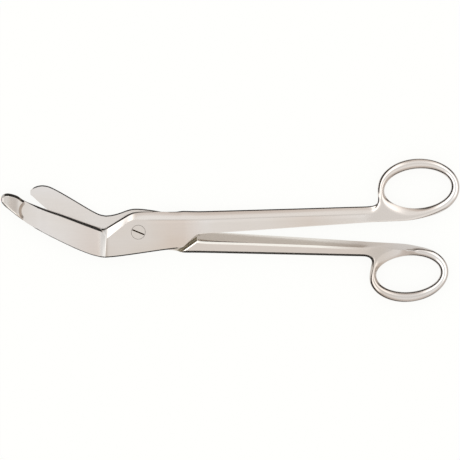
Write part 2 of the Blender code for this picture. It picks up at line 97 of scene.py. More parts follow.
# %% Outer edges and the ridge
# Points are (x, y) from the pivot, in the frame of a half, with the shank on the +y side
BOX_OUTER = [(-15.7, 1.3), (-14.1, 2.05), (-10.3, 4.4), (-6.3, 6.9), (-2.7, 9.1)]
PROBE_BOX = [(3.0, 9.1), (9.7, 9.05), (16.7, 8.9), (18.9, 9.4)]
PLAIN_BOX = [(3.0, 8.6), (9.7, 7.7), (16.7, 8.0), (18.4, 8.9), (20.6, 9.15)]
SHANK_OUTER = [(27.4, 9.2), (45.1, 9.63), (71.6, 10.28), (89.3, 10.8), (104.6, 11.15)]
RIDGE_LINE = [(-15.7, 0.1), (-14.1, -2.9), (-10.3, 0.1), (-6.3, 3.2), (-2.7, 5.95), (3.0, 5.45),
              (27.4, 5.4), (62.8, 6.55), (89.3, 7.26), (104.0, 7.8)]
MID_SHANK = 60.0
print("chamfer half way along the shank:",
      round(along(SHANK_OUTER, MID_SHANK) - along(RIDGE_LINE, MID_SHANK), 2), "mm wide")

# %% [markdown]
# ## Jaws from above
# The lower jaw ends in a blunt probe that slides under the bandage, and the upper one is plain.
# Both are angled at the root, so that the hand stays clear of the patient.
# The lists run from the tip. The inner edge goes on past the shoulder of the box to the ring.

# %% Probe jaw
PROBE_OUTER = [(-61.1, 15.9), (-59.2, 17.6), (-56.8, 17.4), (-54.5, 16.73), (-53.0, 16.04),
               (-51.7, 14.85), (-49.7, 13.8), (-46.6, 12.6), (-40.8, 10.25), (-34.6, 8.4),
               (-28.0, 5.95), (-21.3, 3.6), (-19.6, 3.0), (-17.4, 2.25)]
PROBE_INNER = [(-61.1, 13.6), (-59.2, 11.7), (-56.8, 9.88), (-54.5, 7.93), (-53.0, 6.84),
               (-51.7, 5.91), (-49.7, 4.41), (-46.6, 2.35), (-40.8, -0.92), (-34.6, -4.0),
               (-28.0, -7.26), (-21.3, -9.87), (-17.4, -10.9), (-15.7, -11.2),
               (-14.1, -11.25), (-10.3, -10.94), (-2.7, -9.95), (9.7, -8.16), (16.7, -7.3),
               (19.8, -6.7), (20.6, -6.0), (25.4, -1.5), (26.4, -1.0), (29.6, -0.6), (40.6, -0.05),
               (58.3, 1.13), (76.1, 2.28), (91.6, 3.31), (104.0, 4.15)]
print("probe jaw reaches", -PROBE_OUTER[0][0], "mm from the pivot")

# %% Plain jaw
PLAIN_OUTER = [(-47.9, -16.86), (-46.6, -15.8), (-45.0, -14.29), (-43.0, -12.43),
               (-40.4, -10.2), (-38.2, -8.6), (-34.6, -6.5), (-28.0, -3.63), (-21.3, -0.89),
               (-19.6, -0.18), (-17.4, 0.74)]
PLAIN_INNER = [(-47.9, -18.7), (-46.6, -20.01), (-45.0, -20.66), (-43.0, -21.09),
               (-40.4, -20.8), (-38.2, -19.89), (-34.6, -18.0), (-28.0, -14.09),
               (-21.3, -10.01), (-17.4, -8.0), (-14.1, -7.36), (-10.3, -7.87), (-6.3, -9.33),
               (-2.7, -10.66), (3.0, -10.26), (9.7, -9.22), (16.7, -7.5), (19.8, -6.7),
               (20.6, -6.0), (25.4, -1.3), (26.4, -0.7), (29.6, -0.2), (40.6, 0.5), (58.3, 1.72),
               (76.1, 2.78), (91.6, 3.94), (104.0, 4.7)]
print("plain jaw reaches", -PLAIN_OUTER[0][0], "mm from the pivot")

# %% [markdown]
# ## Stations and rails
# A section is twelve points around the half at one place, and the same point of every section
# makes a rail. The half could be sculpted or cut from a block, but in a loft of sections each
# ground edge is one rail, which can be kept crisp all along.
# The crest is the line across the box where the jaw rises to the full face. It leans a little.

# %% Stations of the box and shank
RAILS = 12
CREST_X, CREST_LEAN = -14.1, 0.07
BOX_STATIONS = [-15.7, CREST_X, -10.3, -6.3, -2.7, 3.0, 9.7, 16.7, 18.2, 19.8, 20.6, 25.4, 26.4,
                29.6, 40.6, 58.3, 76.1, 91.6, 98.5]
FLAT_STATIONS = range(5)    # the chamfer is one flat facet here
PIVOT_STATION = 8           # the box is drawn as far as here, and then the full shank
SCARF_STATION = 8           # the slanted inner face starts to open here
TAPER_STATION = 10          # it is fully open, and the shank grows thinner from here
FADE_STATION = 17           # the crisp edges start to fade into the ring
print(len(BOX_STATIONS), "sections from the jaw root to the ring")

# %% [markdown]
# ## The lapped side
# Blades and box are ground flat on the side that slides on the other half.
# That flat is cut later with one solid, so the cage only has to reach a little past it, and to
# hold the bevel along the spine. A modifier would bevel every edge alike, so the bevels are drawn.

# %% Lapped side of a section
# A bevel is given as its width across the face, then its fall
LAP_BEVEL = (0.55, 0.43)
LAP_SHARES = (0.2, 0.5, 0.8)  # where the points lie across the lapped side
EDGE_Z = 0.5                  # height of the cutting edge, and depth of the cage past the lap


def lapped_side(yo, yi):
    """Points from the spine to the outer edge, on the side of the other half."""
    wide, fall = LAP_BEVEL
    high = LAP_GAP / 2 + fall
    lap = yi + (high + EDGE_Z) * wide / fall
    across = [lap] + [mix(lap, yo, part) for part in LAP_SHARES] + [yo]
    return [(yi, high)] + [(y, -EDGE_Z) for y in across]


print("a lapped side has", len(lapped_side(1.0, 0.0)), "points")

# %% [markdown]
# ## Blades
# A blade is a thin bar. Its cutting edge is ground to a bevel that widens towards the box, with
# a steep honed strip under it, and its back only has a fine bevel.
# The strip and the bevel draw the dark line that makes an edge look sharp, so both are modelled.

# %% Blade section
BLADE_TIP_Z, BLADE_ROOT_Z = 1.9, 2.2
FACE_RISE = [(-60.7, BLADE_TIP_Z), (-19.6, BLADE_ROOT_Z), (-17.4, 2.28), (-15.7, 2.58),
             (CREST_X, FACE_Z)]
EDGE_BEVEL_TIP, EDGE_BEVEL_ROOT = 0.5, 1.7
EDGE_BEVEL_SHARE = 0.85       # how much of that width is ground, above the honed strip
EDGE_BEVEL_SLOPE = 0.82
BLADE_BACK_BEVEL = (0.35, 0.3)


def blade_section(yo, yi, top, part):
    """Twelve points around a blade, part of the way from its tip to its root."""
    bevel = mix(EDGE_BEVEL_TIP, EDGE_BEVEL_ROOT, part)
    ground = bevel * EDGE_BEVEL_SHARE
    ridge = yo - bevel
    foot = (ridge + ground, top - ground * EDGE_BEVEL_SLOPE)
    half_way = (ridge + ground / 2, (top + foot[1]) / 2)
    wide, fall = BLADE_BACK_BEVEL
    face = [foot, half_way, (ridge, top), (yi + wide, top), (yi, top - fall)]
    return face + lapped_side(yo, yi) + [(yo, EDGE_Z)]


print("blade", round(BLADE_TIP_Z - LAP_GAP / 2, 2), "mm thick at its tip")

# %% [markdown]
# ## Box
# The box is thicker than the blade, and its slanted side is one flat facet that catches the
# light. Past the pivot the same side turns into the rounded chamfer of the shank.
# Drawing the box with the rails of the blade lets the crest between them stay a single edge.

# %% Box section
BOX_CHAMFER_Z = 1.45          # foot of the chamfer on the slanted side of the box
CHAMFER_Z = 1.2               # the same beside the pivot and on the shank
CREST_SLOPE = 0.58            # steepest fall of the chamfer where the slanted side ends
FLAT_BELLY = 0.5              # share of the chamfer's fall that its inner half takes
CHAMFER_BELLY = 0.42          # the same where it is a little round
BOX_BEVEL = (0.5, 0.45)
BOX_FOOT_BEVEL = (0.8, 0.56)
NECK_BEVEL = (0.1, 0.1)


def chamfer(foot, ridge, top, belly):
    """Foot, middle and ridge of the outer chamfer."""
    return [foot, ((ridge + foot[0]) / 2, mix(top, foot[1], belly)), (ridge, top)]


def box_section(k, x, yo, yi):
    """Twelve points around the box, at its station k."""
    is_flat = k in FLAT_STATIONS
    ridge, top = along(RIDGE_LINE, x), along(FACE_RISE, x)
    bevel, drop = BOX_FOOT_BEVEL if is_flat else NECK_BEVEL
    slope = CREST_SLOPE if k == FLAT_STATIONS[-1] else EDGE_BEVEL_SLOPE
    corner = max(BOX_CHAMFER_Z if is_flat else CHAMFER_Z, top - (yo - bevel - ridge) * slope)
    outer = chamfer((yo - bevel, corner), ridge, top, FLAT_BELLY if is_flat else CHAMFER_BELLY)
    wide, fall = BOX_BEVEL
    return (outer + [(yi + wide, top), (yi, top - fall)] + lapped_side(yo, yi)
            + [(yo, corner - drop)])


print("the face rises", round(FACE_Z - BLADE_ROOT_Z, 2), "mm from the blade to the box")

# %% [markdown]
# ## Shank
# Behind the box a shank has its full thickness. It is relieved on the inner side by a long
# slanted face, so that the halves can close, and it grows thinner and narrower to the ring.
# The slanted face ends in a narrow bevelled strip with a ridge, and both are only a few tenths
# of a millimetre wide. Left out, the shank would look cast instead of ground.

# %% Sizes of the shank
CHAMFER_END_Z = 0.7           # foot of the chamfer where the shank meets the ring
OUTER_BEVEL = (0.45, 0.38)    # at the foot of the chamfer
SHANK_BEVEL = (0.3, 0.15)     # along the inner edge of the face
UNDER_BEVEL = (0.9, 0.8)
SCARF_WIDTH = [(25.8, 4.9), (40.6, 4.35), (71.6, 3.55), (104.0, 2.9)]
SCARF_LAND = (0.2, 0.6)       # what the slanted face leaves of the edge, at box and ring
SCARF_CORNER = 0.3            # its width where it starts to open
SCARF_BEVEL = (0.75, 0.32)
SCARF_RIDGE = (0.4, 0.34)
RIDGE_FADE = (38.0, 56.0)     # the ridge runs out into the slanted face between these two x
LEAST_SLANT = 1.0             # keeps the strip narrow where the face is hardly slanted yet
print("slanted face", SCARF_WIDTH[0][1], "mm wide at the box,", SCARF_WIDTH[-1][1], "at the ring")

# %% Slanted inner face
def scarf_points(x, yi, top, low, taper):
    """The slanted inner face: from its upper edge down to the strip at its foot."""
    part = share(x, BOX_STATIONS[SCARF_STATION], BOX_STATIONS[TAPER_STATION])
    upper = mix(low, top - SHANK_BEVEL[1] - mix(*SCARF_LAND, taper), part)
    foot = yi + mix(SCARF_CORNER, along(SCARF_WIDTH, x), part)
    slant = (upper - low) / (foot - yi)
    strip, strip_fall = SCARF_BEVEL
    ridge, ridge_fall = SCARF_RIDGE
    ridge = mix(ridge, ridge_fall / max(slant, LEAST_SLANT), share(x, *RIDGE_FADE))
    both = strip_fall + ridge_fall
    turn = max(yi, foot - both / max(slant, LEAST_SLANT))
    high = (foot - turn) * slant
    return [(yi, upper), (turn, low + high), (turn + ridge, low + high * strip_fall / both),
            (foot + strip, low)]


print("the strip at its foot falls", round(SCARF_BEVEL[1] + SCARF_RIDGE[1], 2), "mm")

# %% Section around the shank
def shank_section(x, yo, yi, end):
    """Twelve points around the shank, which runs into its ring at x = end."""
    taper = share(x, BOX_STATIONS[TAPER_STATION], end)
    top, low = mix(FACE_Z, RING_HALF_THICK, taper), mix(BACK_Z, -RING_HALF_THICK, taper)
    corner = mix(CHAMFER_Z, CHAMFER_END_Z, taper)
    bevel, drop = OUTER_BEVEL
    wide, fall = SHANK_BEVEL
    under, rise = UNDER_BEVEL
    return (chamfer((yo - bevel, corner), along(RIDGE_LINE, x), top, CHAMFER_BELLY)
            + [(yi + wide, top), (yi, top - fall)] + scarf_points(x, yi, top, low, taper)
            + [(yo - under, low), (yo, low + rise), (yo, corner - drop)])


print("the shank thins by", round(FACE_Z - BACK_Z - 2 * RING_HALF_THICK, 2), "mm to its ring")

# %% [markdown]
# ## Probe nose
# The nose is the one thick lump of the jaw: blunt, round underneath and bevelled on its face.
# It could be a piece of its own, joined by a Boolean, but it is forged in one with the blade.
# So its sections use the same twelve rails, and the relief behind it is cut away later.

# %% Nose section
NOSE_Z = 2.9                  # top of the nose
NOSE_BACK_Z = -2.3            # its underside, which reaches past the plain blade
NOSE_TIP_SHARE = 0.72         # how much of that thickness is left at its very end
NOSE_SECTIONS = 7             # the first ones of the jaw, as far as under the relief
NOSE_FULL = 2                 # it has its full thickness from this one
NOSE_EDGE_BEVEL = (1.35, 1.08)
NOSE_BACK_BEVEL = (0.6, 0.25)
NOSE_FOOT_BEVEL = (0.38, 0.22)
# The round underside: share of the width, from the inner edge, and share of the depth
NOSE_UNDERSIDE = [(0.0, 0.6), (0.15, 1.0), (0.5, 1.0), (0.8, 0.9), (1.0, 0.5), (1.0, 0.0)]


def nose_section(yo, yi, part):
    """Twelve points around the probe nose, part of the way from its end to full thickness."""
    swell = mix(NOSE_TIP_SHARE, 1.0, part)
    top, low = NOSE_Z * swell, NOSE_BACK_Z * swell
    wide, fall = NOSE_EDGE_BEVEL
    back_wide, back_fall = NOSE_BACK_BEVEL
    foot_wide, foot_fall = NOSE_FOOT_BEVEL
    ledge = top - back_fall
    face = [(yo, top - fall), (yo - wide / 2, top - fall / 2), (yo - wide, top),
            (yi + foot_wide + back_wide, top), (yi + foot_wide, ledge), (yi, ledge - foot_fall)]
    return face + [(mix(yi, yo, across), low * deep) for across, deep in NOSE_UNDERSIDE]


print("nose", round(NOSE_Z - NOSE_BACK_Z, 2), "mm thick")

# %% [markdown]
# ## Finger rings from above
# A finger ring has an oval hole and an oval outer edge with different tilts and centres, so the
# band is wider on one side. A torus has neither, and therefore each ring is its two ovals.
# Near the shank the outer edge stops being an oval: it opens into a fillet, listed point by point.

# %% Ring outline
# Where sections are drawn around a ring, in degrees, and which of them the shank runs into
RING_TURNS = [0, 18, 36, 54, 72, 90, 108, 126, 144, 162, 180, 193, 204, 217, 234, 252, 270, 288,
              306, 324, 342]
MOUTH = range(12, 16)
# Smoothing draws a round cage in by about a third of what its corners stand proud
CAGE_SWELL = 1 / (1 - (1 - math.cos(math.tau / len(RING_TURNS))) / 3)


def oval(half, tilt, turn):
    """Point of a tilted ellipse round its centre, at a turn of its own angle."""
    u, v = half[0] * math.cos(turn), half[1] * math.sin(turn)
    c, s = math.cos(tilt), math.sin(tilt)
    return Vector((u * c - v * s, u * s + v * c))


print("the ring cage is drawn", round(CAGE_SWELL, 4), "times as large")

# %% Ring
class Ring:
    """A finger ring: its hole and its outer oval, and the points where the shank runs into it.

    The points count sections from the right end of the ring, and are measured from its centre.
    """

    def __init__(self, centre, hole, hole_tilt, band, band_tilt, band_shift, joint):
        self.centre = Vector(centre)
        self.hole, self.hole_tilt = hole, hole_tilt
        self.band, self.band_tilt = band, band_tilt
        self.band_shift = Vector(band_shift)
        self.joint = joint

    def edges(self, k):
        """Inner and outer point of a section."""
        turn = math.radians(RING_TURNS[k])
        inside = self.centre + oval(self.hole, self.hole_tilt, turn) * CAGE_SWELL
        if k in self.joint:
            return inside, self.centre + Vector(self.joint[k])
        outside = oval(self.band, self.band_tilt, turn) * CAGE_SWELL
        return inside, self.centre + self.band_shift + outside


print(len(RING_TURNS), "sections around a ring,", len(MOUTH), "of them at its mouth")

# %% The two rings
UPPER_RING = Ring(
    centre=(124.0, 19.0), hole=(14.86, 8.69), hole_tilt=math.radians(4.64),
    band=(18.15, 13.05), band_tilt=math.radians(1.1), band_shift=(0.35, 0.22),
    joint={11: (-17.6, -3.6), 12: (-17.6, -6.3), 13: (-16.8, -9.2), 14: (-13.7, -12.4),
           15: (-8.0, -14.5), 16: (-1.4, -14.0)})
LOWER_RING = Ring(
    centre=(119.7, 18.88), hole=(14.21, 7.98), hole_tilt=math.radians(-4.64),
    band=(17.7, 12.35), band_tilt=math.radians(-7.0), band_shift=(0.12, 0.12),
    joint={11: (-16.5, -3.4), 12: (-15.9, -6.1), 13: (-15.1, -9.0), 14: (-12.1, -12.0),
           15: (-6.2, -13.6), 16: (0.1, -13.2)})
for ring_name, ring in (("upper", UPPER_RING), ("lower", LOWER_RING)):
    print(ring_name, "ring hole", [round(2 * size, 1) for size in ring.hole], "mm")

# %% [markdown]
# ## Section of a ring
# Across the band a ring is a low dome above a short wall, with a line between them that buffing
# has hardly rounded. Eight points hold that, and four would give a plain round tube.
# The slanted face of the shank runs out over the next sections, so these have their own corners.

# %% Ring sections
# Corners on the outer side, as shares of the half width and of the half thickness
DOME_SECTION = [(0.9, 0.46), (1.0, 0.0), (0.9, -0.46)]
STEEP_SECTION = [(0.92, 0.38), (1.0, 0.0), (0.92, -0.38)]
STEEP = range(6, 11)
JOINT_SECTION = [(1.0, 0.9), (1.0, 0.0), (1.0, -0.9)]
SCARF_SECTIONS = {15: [(1.0, 0.92), (1.0, 0.82), (1.0, 0.7)],
                  16: [(0.9, 0.9), (1.0, 0.76), (0.9, 0.5)],
                  17: [(0.7, 0.8), (1.0, 0.4), (0.8, -0.3)]}
INNER_SHARE, INNER_HIGH = 0.9, 0.38
SWELL_OUT, SWELL_UP = 1.03, 1.19   # smoothing draws a section in by about this much


def ring_section(k, joint):
    """Eight corners around the band, from the inside over the dome."""
    outer = JOINT_SECTION if k in joint else DOME_SECTION
    outer = SCARF_SECTIONS.get(k, STEEP_SECTION if k in STEEP else outer)
    upper = [(-1.0, 0.0), (-INNER_SHARE, INNER_HIGH), (0.0, 1.0)]
    return upper + outer + [(0.0, -1.0), (-INNER_SHARE, -INNER_HIGH)]


print("ring sections have", len(ring_section(0, {})), "corners")

# %% [markdown]
# ## A half from its outlines
# A half is now only a list: which outlines, which ring, and which side is seen from above.
# The same class draws both, because the real ones are forged to one pattern and ground alike.
# The whole drawing is then scaled to the true length of the tool, which is set in one place.

# %% The two halves
FACE_UP, FACE_DOWN = 1, -1
LENGTH = 203.25               # from the tip of the probe to the end of the upper ring


class Half:
    """The outline, the ring and the sections of one half, in its own frame.

    The shank is drawn as far as shank_end before the centre of its ring. The side is the one
    seen from above, and fillet is how strong the bevel around the fillet is.
    """

    def __init__(self, outer, box, inner, nose_sections, ring, shank_end, side, fillet):
        self.outer = outer + BOX_OUTER + box + SHANK_OUTER
        self.inner = inner
        self.nose_sections = nose_sections
        self.ring = ring
        self.side, self.fillet = side, fillet
        self.jaw_sections = len(outer)
        self.stations = [p[0] for p in outer] + BOX_STATIONS + [ring.centre.x - shank_end]

    def section(self, k):
        """Twelve points around a section, from the foot of the outer chamfer over the face."""
        x, tip = self.stations[k], self.stations[0]
        yo, yi = along(self.outer, x), along(self.inner, x)
        if k < self.nose_sections:
            return nose_section(yo, yi, share(x, tip, self.stations[NOSE_FULL]))
        if k < self.jaw_sections:
            root = self.stations[self.jaw_sections - 1]
            return blade_section(yo, yi, along(FACE_RISE, x), share(x, tip, root))
        if k < self.jaw_sections + PIVOT_STATION:
            return box_section(k - self.jaw_sections, x, yo, yi)
        return shank_section(x, yo, yi, self.stations[-1])


PROBE_HALF = Half(PROBE_OUTER, PROBE_BOX, PROBE_INNER, nose_sections=NOSE_SECTIONS,
                  ring=UPPER_RING, shank_end=19.4, side=FACE_UP, fillet=1.0)
PLAIN_HALF = Half(PLAIN_OUTER, PLAIN_BOX, PLAIN_INNER, nose_sections=0,
                  ring=LOWER_RING, shank_end=18.1, side=FACE_DOWN, fillet=2.1)
PLAN = LENGTH / (UPPER_RING.centre.x + UPPER_RING.band[0] - PROBE_OUTER[0][0])
print("plan drawn at", round(PLAN, 4), "of its size")

# %% [markdown]
# ## Cage of jaw, box and shank
# The sections are joined to a tube of four-sided faces, which is what smoothing likes best.
# It has one end face, at the tip of the jaw. Its other end stays open for the ring.

# %% Shank rows
def shank_rows(bm, half):
    """Joins all the sections from the tip of the jaw to the ring, and returns their points."""
    rows = []
    for k, x in enumerate(half.stations):
        lean = CREST_LEAN if x == CREST_X else 0.0
        points = half.section(k)
        ridge = points[2][0]
        rows.append([bm.verts.new((x + lean * min(y - ridge, 0.0), y, z)) for y, z in points])
    bm.faces.new(rows[0])
    for a, b in zip(rows, rows[1:]):
        for i in range(RAILS):
            j = (i + 1) % RAILS
            bm.faces.new((a[i], a[j], b[j], b[i]))
    return rows


print(len(PROBE_HALF.stations), "and", len(PLAIN_HALF.stations), "sections in the two halves")

# %% [markdown]
# ## Cage of a ring
# The ring is the same kind of tube, closed on itself. Where the shank runs in, two of its eight
# faces are left out on the outside, which makes one open mouth.
# On the side that is seen, a bevel runs on from the shank around the fillet. It falls as much
# all the way, and is wider and deeper on the plain half.

# %% Ring rows
# By section: how far in the upper edge of that bevel lies
FILLET_IN = {11: (0.55, -0.1), 12: (0.42, -0.42)}
FILLET_FALL = 0.49
RING_SIDES = 8
OUTERMOST = 4                 # number of the outermost corner of a ring section


def ring_rows(bm, half):
    """Corners of the sections around the finger ring."""
    rows = []
    for k in range(len(RING_TURNS)):
        inside, outside = half.ring.edges(k)
        middle, reach = (inside + outside) / 2, (outside - inside) / 2 * SWELL_OUT
        row = []
        for out, up in ring_section(k, half.ring.joint):
            p = middle + reach * out
            row.append(bm.verts.new((p.x, p.y, up * (RING_HALF_THICK * SWELL_UP))))
        if k in FILLET_IN:
            lip = outside + half.fillet * Vector(FILLET_IN[k])
            row[OUTERMOST - half.side].co = (lip.x, lip.y, half.side * RING_HALF_THICK)
            row[OUTERMOST].co.z = half.side * (RING_HALF_THICK - half.fillet * FILLET_FALL)
        rows.append(row)
    return rows


print("the fillet's bevel falls", FILLET_FALL, "mm")

# %% Ring band
RING_CREASE = 0.6             # how crisp the line between dome and wall stays
BLEND = range(11, 18)         # it is left out on the outside where the shank runs in
INNER_LINES, ALL_LINES = (1, 7), (1, 3, 5, 7)


def ring_band(bm, ring, crease):
    """Faces of the ring, apart from its mouth."""
    for k in range(len(ring)):
        a, b = ring[k], ring[(k + 1) % len(ring)]
        for i in range(RING_SIDES):
            j = (i + 1) % RING_SIDES
            if i in (OUTERMOST - 1, OUTERMOST) and k in MOUTH[:-1]:
                continue
            bm.faces.new((a[i], b[i], b[j], a[j]))
        for i in INNER_LINES if k in BLEND else ALL_LINES:
            bm.edges.get((a[i], b[i]))[crease] = RING_CREASE


print("the mouth lies between", RING_TURNS[MOUTH[0]], "and", RING_TURNS[MOUTH[-1]], "degrees")

# %% [markdown]
# ## Crisp and soft edges
# One subdivision surface has to give both ground edges and buffed curves. A crease of 1 keeps
# an edge of the cage crisp, 0 lets it flow, and anything between fades it out.
# More loops beside an edge would do the same, but they leave ripples on the long flat faces.

# %% Creases along the rails
CRISP, FADING = 1.0, 0.5
SOFT_RAILS, FADING_RAILS = (1, ), (2, 3)
CREST_RAILS = (2, 3)
NOSE_CREASES = {0: 0.9, 2: 0.6, 3: 0.8, 4: 0.8, 5: 0.8, 8: 0.2, 10: 0.3}


def crease_rails(bm, half, rows, crease):
    """Keeps the machined edges crisp and lets them run out into the ring."""
    fade_from = half.jaw_sections + FADE_STATION
    for k, (a, b) in enumerate(zip(rows, rows[1:])):
        sharp = {i: FADING if k >= fade_from and i in FADING_RAILS else CRISP
                 for i in range(RAILS) if i not in SOFT_RAILS}
        for i, value in (NOSE_CREASES if k < half.nose_sections else sharp).items():
            bm.edges.get((a[i], b[i]))[crease] = value
    crest = rows[half.jaw_sections + 1]
    for i in CREST_RAILS:
        bm.edges.get((crest[i], crest[i + 1]))[crease] = CRISP
    if not half.nose_sections:
        for i in range(RAILS):
            bm.edges.get((rows[0][i], rows[0][(i + 1) % RAILS]))[crease] = CRISP


print(RAILS - len(SOFT_RAILS), "of", RAILS, "rails stay crisp")

# %% Edge of the slanted face over the ring
SCARF_CORNERS = (5, 6)        # the corners of a ring section that this edge runs across


def fold_scarf(bm, ring, crease):
    """Lets the edge of the slanted inner face run out crisply over the ring."""
    high, low = SCARF_CORNERS
    a, b, c, d = ring[MOUTH[-2]:MOUTH[-2] + 4]
    fold = bm.faces.get((a[high], b[high], b[low], a[low]))
    bmesh.utils.face_split(fold, a[high], b[low])
    for start, end, value in ((a[high], b[low], CRISP), (b[low], c[low], CRISP),
                              (c[low], d[low], FADING)):
        bm.edges.get((start, end))[crease] = value


print("it runs out at", RING_TURNS[MOUTH[-2] + 3], "degrees")

# %% [markdown]
# ## Shank into ring
# On a forging the shank flows into its ring without a seam. Joining two solids would leave a
# hard line there, so the open end of the tube is sewn to the mouth of the ring.
# The mouth has ten corners and the tube has twelve rails, so a few rails share a corner.

# %% Sew the shank to the ring
# By the side that is seen: the corner of the mouth that each rail runs into, and the rails that
# stay crisp up to it
MOUTH_CORNERS = {FACE_UP: [0, 0, 1, 2, 3, 4, 5, 6, 6, 7, 8, 9],
                 FACE_DOWN: [0, 0, 1, 2, 3, 4, 5, 6, 7, 8, 9, 0]}
MOUTH_CRISP = {FACE_UP: (0, 11), FACE_DOWN: (7, 8, 9, 10)}


def sew(bm, half, end, ring, crease):
    """Faces between the last section of the shank and the mouth of the ring."""
    high, middle, low = OUTERMOST - 1, OUTERMOST, OUTERMOST + 1
    mouth = [ring[k][high] for k in MOUTH] + [ring[MOUTH[-1]][middle]]
    mouth += [ring[k][low] for k in reversed(MOUTH)] + [ring[MOUTH[0]][middle]]
    corner = MOUTH_CORNERS[half.side]
    for i in range(RAILS):
        j = (i + 1) % RAILS
        points = [end[i], end[j], mouth[corner[j]], mouth[corner[i]]]
        bm.faces.new(list(dict.fromkeys(points)))
    for i in MOUTH_CRISP[half.side]:
        bm.edges.get((end[i], mouth[corner[i]]))[crease] = CRISP


print("sewn at", [round(half.stations[-1], 1) for half in (PROBE_HALF, PLAIN_HALF)], "mm")

# %% [markdown]
# ## The whole cage
# Tube, ring and seam are put together in one mesh, so that smoothing sees a single surface.
# Corners that no face uses, at the middle of the mouth, are taken away again.

# %% Cage of a half
def cage(half):
    """Cage of the whole half: jaw, box, shank and the finger ring that it runs into."""
    bm = bmesh.new()
    crease = bm.edges.layers.float.new("crease_edge")
    rows = shank_rows(bm, half)
    ring = ring_rows(bm, half)
    ring_band(bm, ring, crease)
    fold_scarf(bm, ring, crease)
    for i in (OUTERMOST - half.side, OUTERMOST):
        for k in FILLET_IN:
            bm.edges.get((ring[k - 1][i], ring[k][i]))[crease] = CRISP
    sew(bm, half, rows[-1], ring, crease)
    loose = [v for v in bm.verts if not v.link_faces]
    bmesh.ops.delete(bm, geom=loose, context="VERTS")
    crease_rails(bm, half, rows, crease)
    bmesh.ops.recalc_face_normals(bm, faces=bm.faces)
    return bm


trial = cage(PROBE_HALF)
print("the probe half's cage has", len(trial.faces), "faces")
trial.free()

# %% [markdown]
# ## Solids that cut
# What a milling cutter takes away is modelled as a solid too, and subtracted with a Boolean.
# Each one is lofted between outlines at two or three heights, or turned like a drill.
# They reach well past the steel, because faces that only just touch confuse a Boolean.

# %% Lofted solids
PAST = 5.0                    # how far cutters reach past what they cut


def in_plan(points):
    return [(x * PLAN, y * PLAN) for x, y in points]


def loft(levels):
    """Solid through outlines of as many points each, given as (height, points)."""
    bm = bmesh.new()
    rows = [[bm.verts.new((x * MM, y * MM, z * MM)) for x, y in points] for z, points in levels]
    bm.faces.new(rows[0])
    bm.faces.new(rows[-1])
    for a, b in zip(rows, rows[1:]):
        for i in range(len(a)):
            j = (i + 1) % len(a)
            bm.faces.new((a[i], a[j], b[j], b[i]))
    bmesh.ops.recalc_face_normals(bm, faces=bm.faces)
    return bm


print("cutters reach", PAST, "mm past the steel")

# %% Turned solids
ROUND_STEPS = 96


def turned(profile):
    """Solid turned about Z from (radius, height) points that start and end on the axis."""
    bm = bmesh.new()
    ends = [bm.verts.new((0, 0, profile[0][1] * MM)), bm.verts.new((0, 0, profile[-1][1] * MM))]
    rows = []
    for r, z in profile[1:-1]:
        turn = [math.tau * k / ROUND_STEPS for k in range(ROUND_STEPS)]
        rows.append([bm.verts.new((r * MM * math.cos(t), r * MM * math.sin(t), z * MM))
                     for t in turn])
    for k in range(ROUND_STEPS):
        n = (k + 1) % ROUND_STEPS
        bm.faces.new((ends[0], rows[0][n], rows[0][k]))
        bm.faces.new((ends[1], rows[-1][k], rows[-1][n]))
        for a, b in zip(rows, rows[1:]):
            bm.faces.new((a[k], a[n], b[n], b[k]))
    bmesh.ops.recalc_face_normals(bm, faces=bm.faces)
    return bm


print("a turned solid has", ROUND_STEPS, "sides")

# %% [markdown]
# ## The lap and its shoulder
# Below the meeting plane each half is milled away, so that the two cross without touching.
# The cut ends at a bevelled shoulder behind the box, and at the nose it leaves the full
# thickness standing. A groove with sloping sides runs along the foot of the shoulder, so that
# the edge of the other box clears the corner.

# %% Lap cut
# Left end of the cut at each jaw, then the shoulder, as seen from above
NOSE_STEP = [(-52.9, 25.0), (-52.9, 14.5), (-53.3, 11.0), (-51.6, 6.0), (-51.6, -25.0)]
CLEAR_OF_TIP = [(-60.0, 25.0), (-60.0, -25.0)]
SHOULDER_WALL = [(26.3, -25.0), (26.3, 3.9), (18.0, 9.7), (18.0, 25.0)]
SHOULDER_BEVEL = (0.6, 0.25)


def lap_cut(lap_start):
    """Takes away all below the meeting plane, up to the bevelled shoulder."""
    bevel, rise = SHOULDER_BEVEL
    (x0, y0), (x1, y1), (x2, y2), (x3, y3) = SHOULDER_WALL
    levels = []
    for z, back in ((LAP_GAP / 2, 0.0), (BACK_Z + rise, 0.0),
                    (BACK_Z - PAST, (rise + PAST) * bevel / rise)):
        wall = [(x0, y0), (x1, y1 + back), (x2, y2 + back), (x3, y3)]
        levels.append((z, in_plan(lap_start + wall)))
    return loft(levels)


print("the shoulder wall is", round(LAP_GAP / 2 - BACK_Z, 2), "mm high")

# %% Groove cut
GROOVE_ENDS = [(17.0, 10.4), (25.9, 4.18)]
GROOVE_WIDTH, GROOVE_DEPTH = 2.1, 0.68
GROOVE_FLOOR = 0.12           # width of its flat floor
GROOVE_OFF = 0.15             # it stays this far from the wall


def groove_cut():
    """The groove in the meeting plane along the foot of the shoulder wall."""
    (x0, y0), (x1, y1) = GROOVE_ENDS
    slope = (GROOVE_WIDTH - GROOVE_FLOOR) / 2 / GROOVE_DEPTH
    middle = GROOVE_OFF + GROOVE_WIDTH / 2
    levels = []
    for z in (0.0, LAP_GAP / 2 + GROOVE_DEPTH):
        half = GROOVE_FLOOR / 2 + (LAP_GAP / 2 + GROOVE_DEPTH - z) * slope
        near, far = middle - half, middle + half
        points = [(x0, y0 - near), (x1, y1 - near), (x1, y1 - far), (x0, y0 - far)]
        levels.append((z, in_plan(points)))
    return loft(levels)


print("the groove is", GROOVE_WIDTH, "mm wide and", GROOVE_DEPTH, "mm deep")

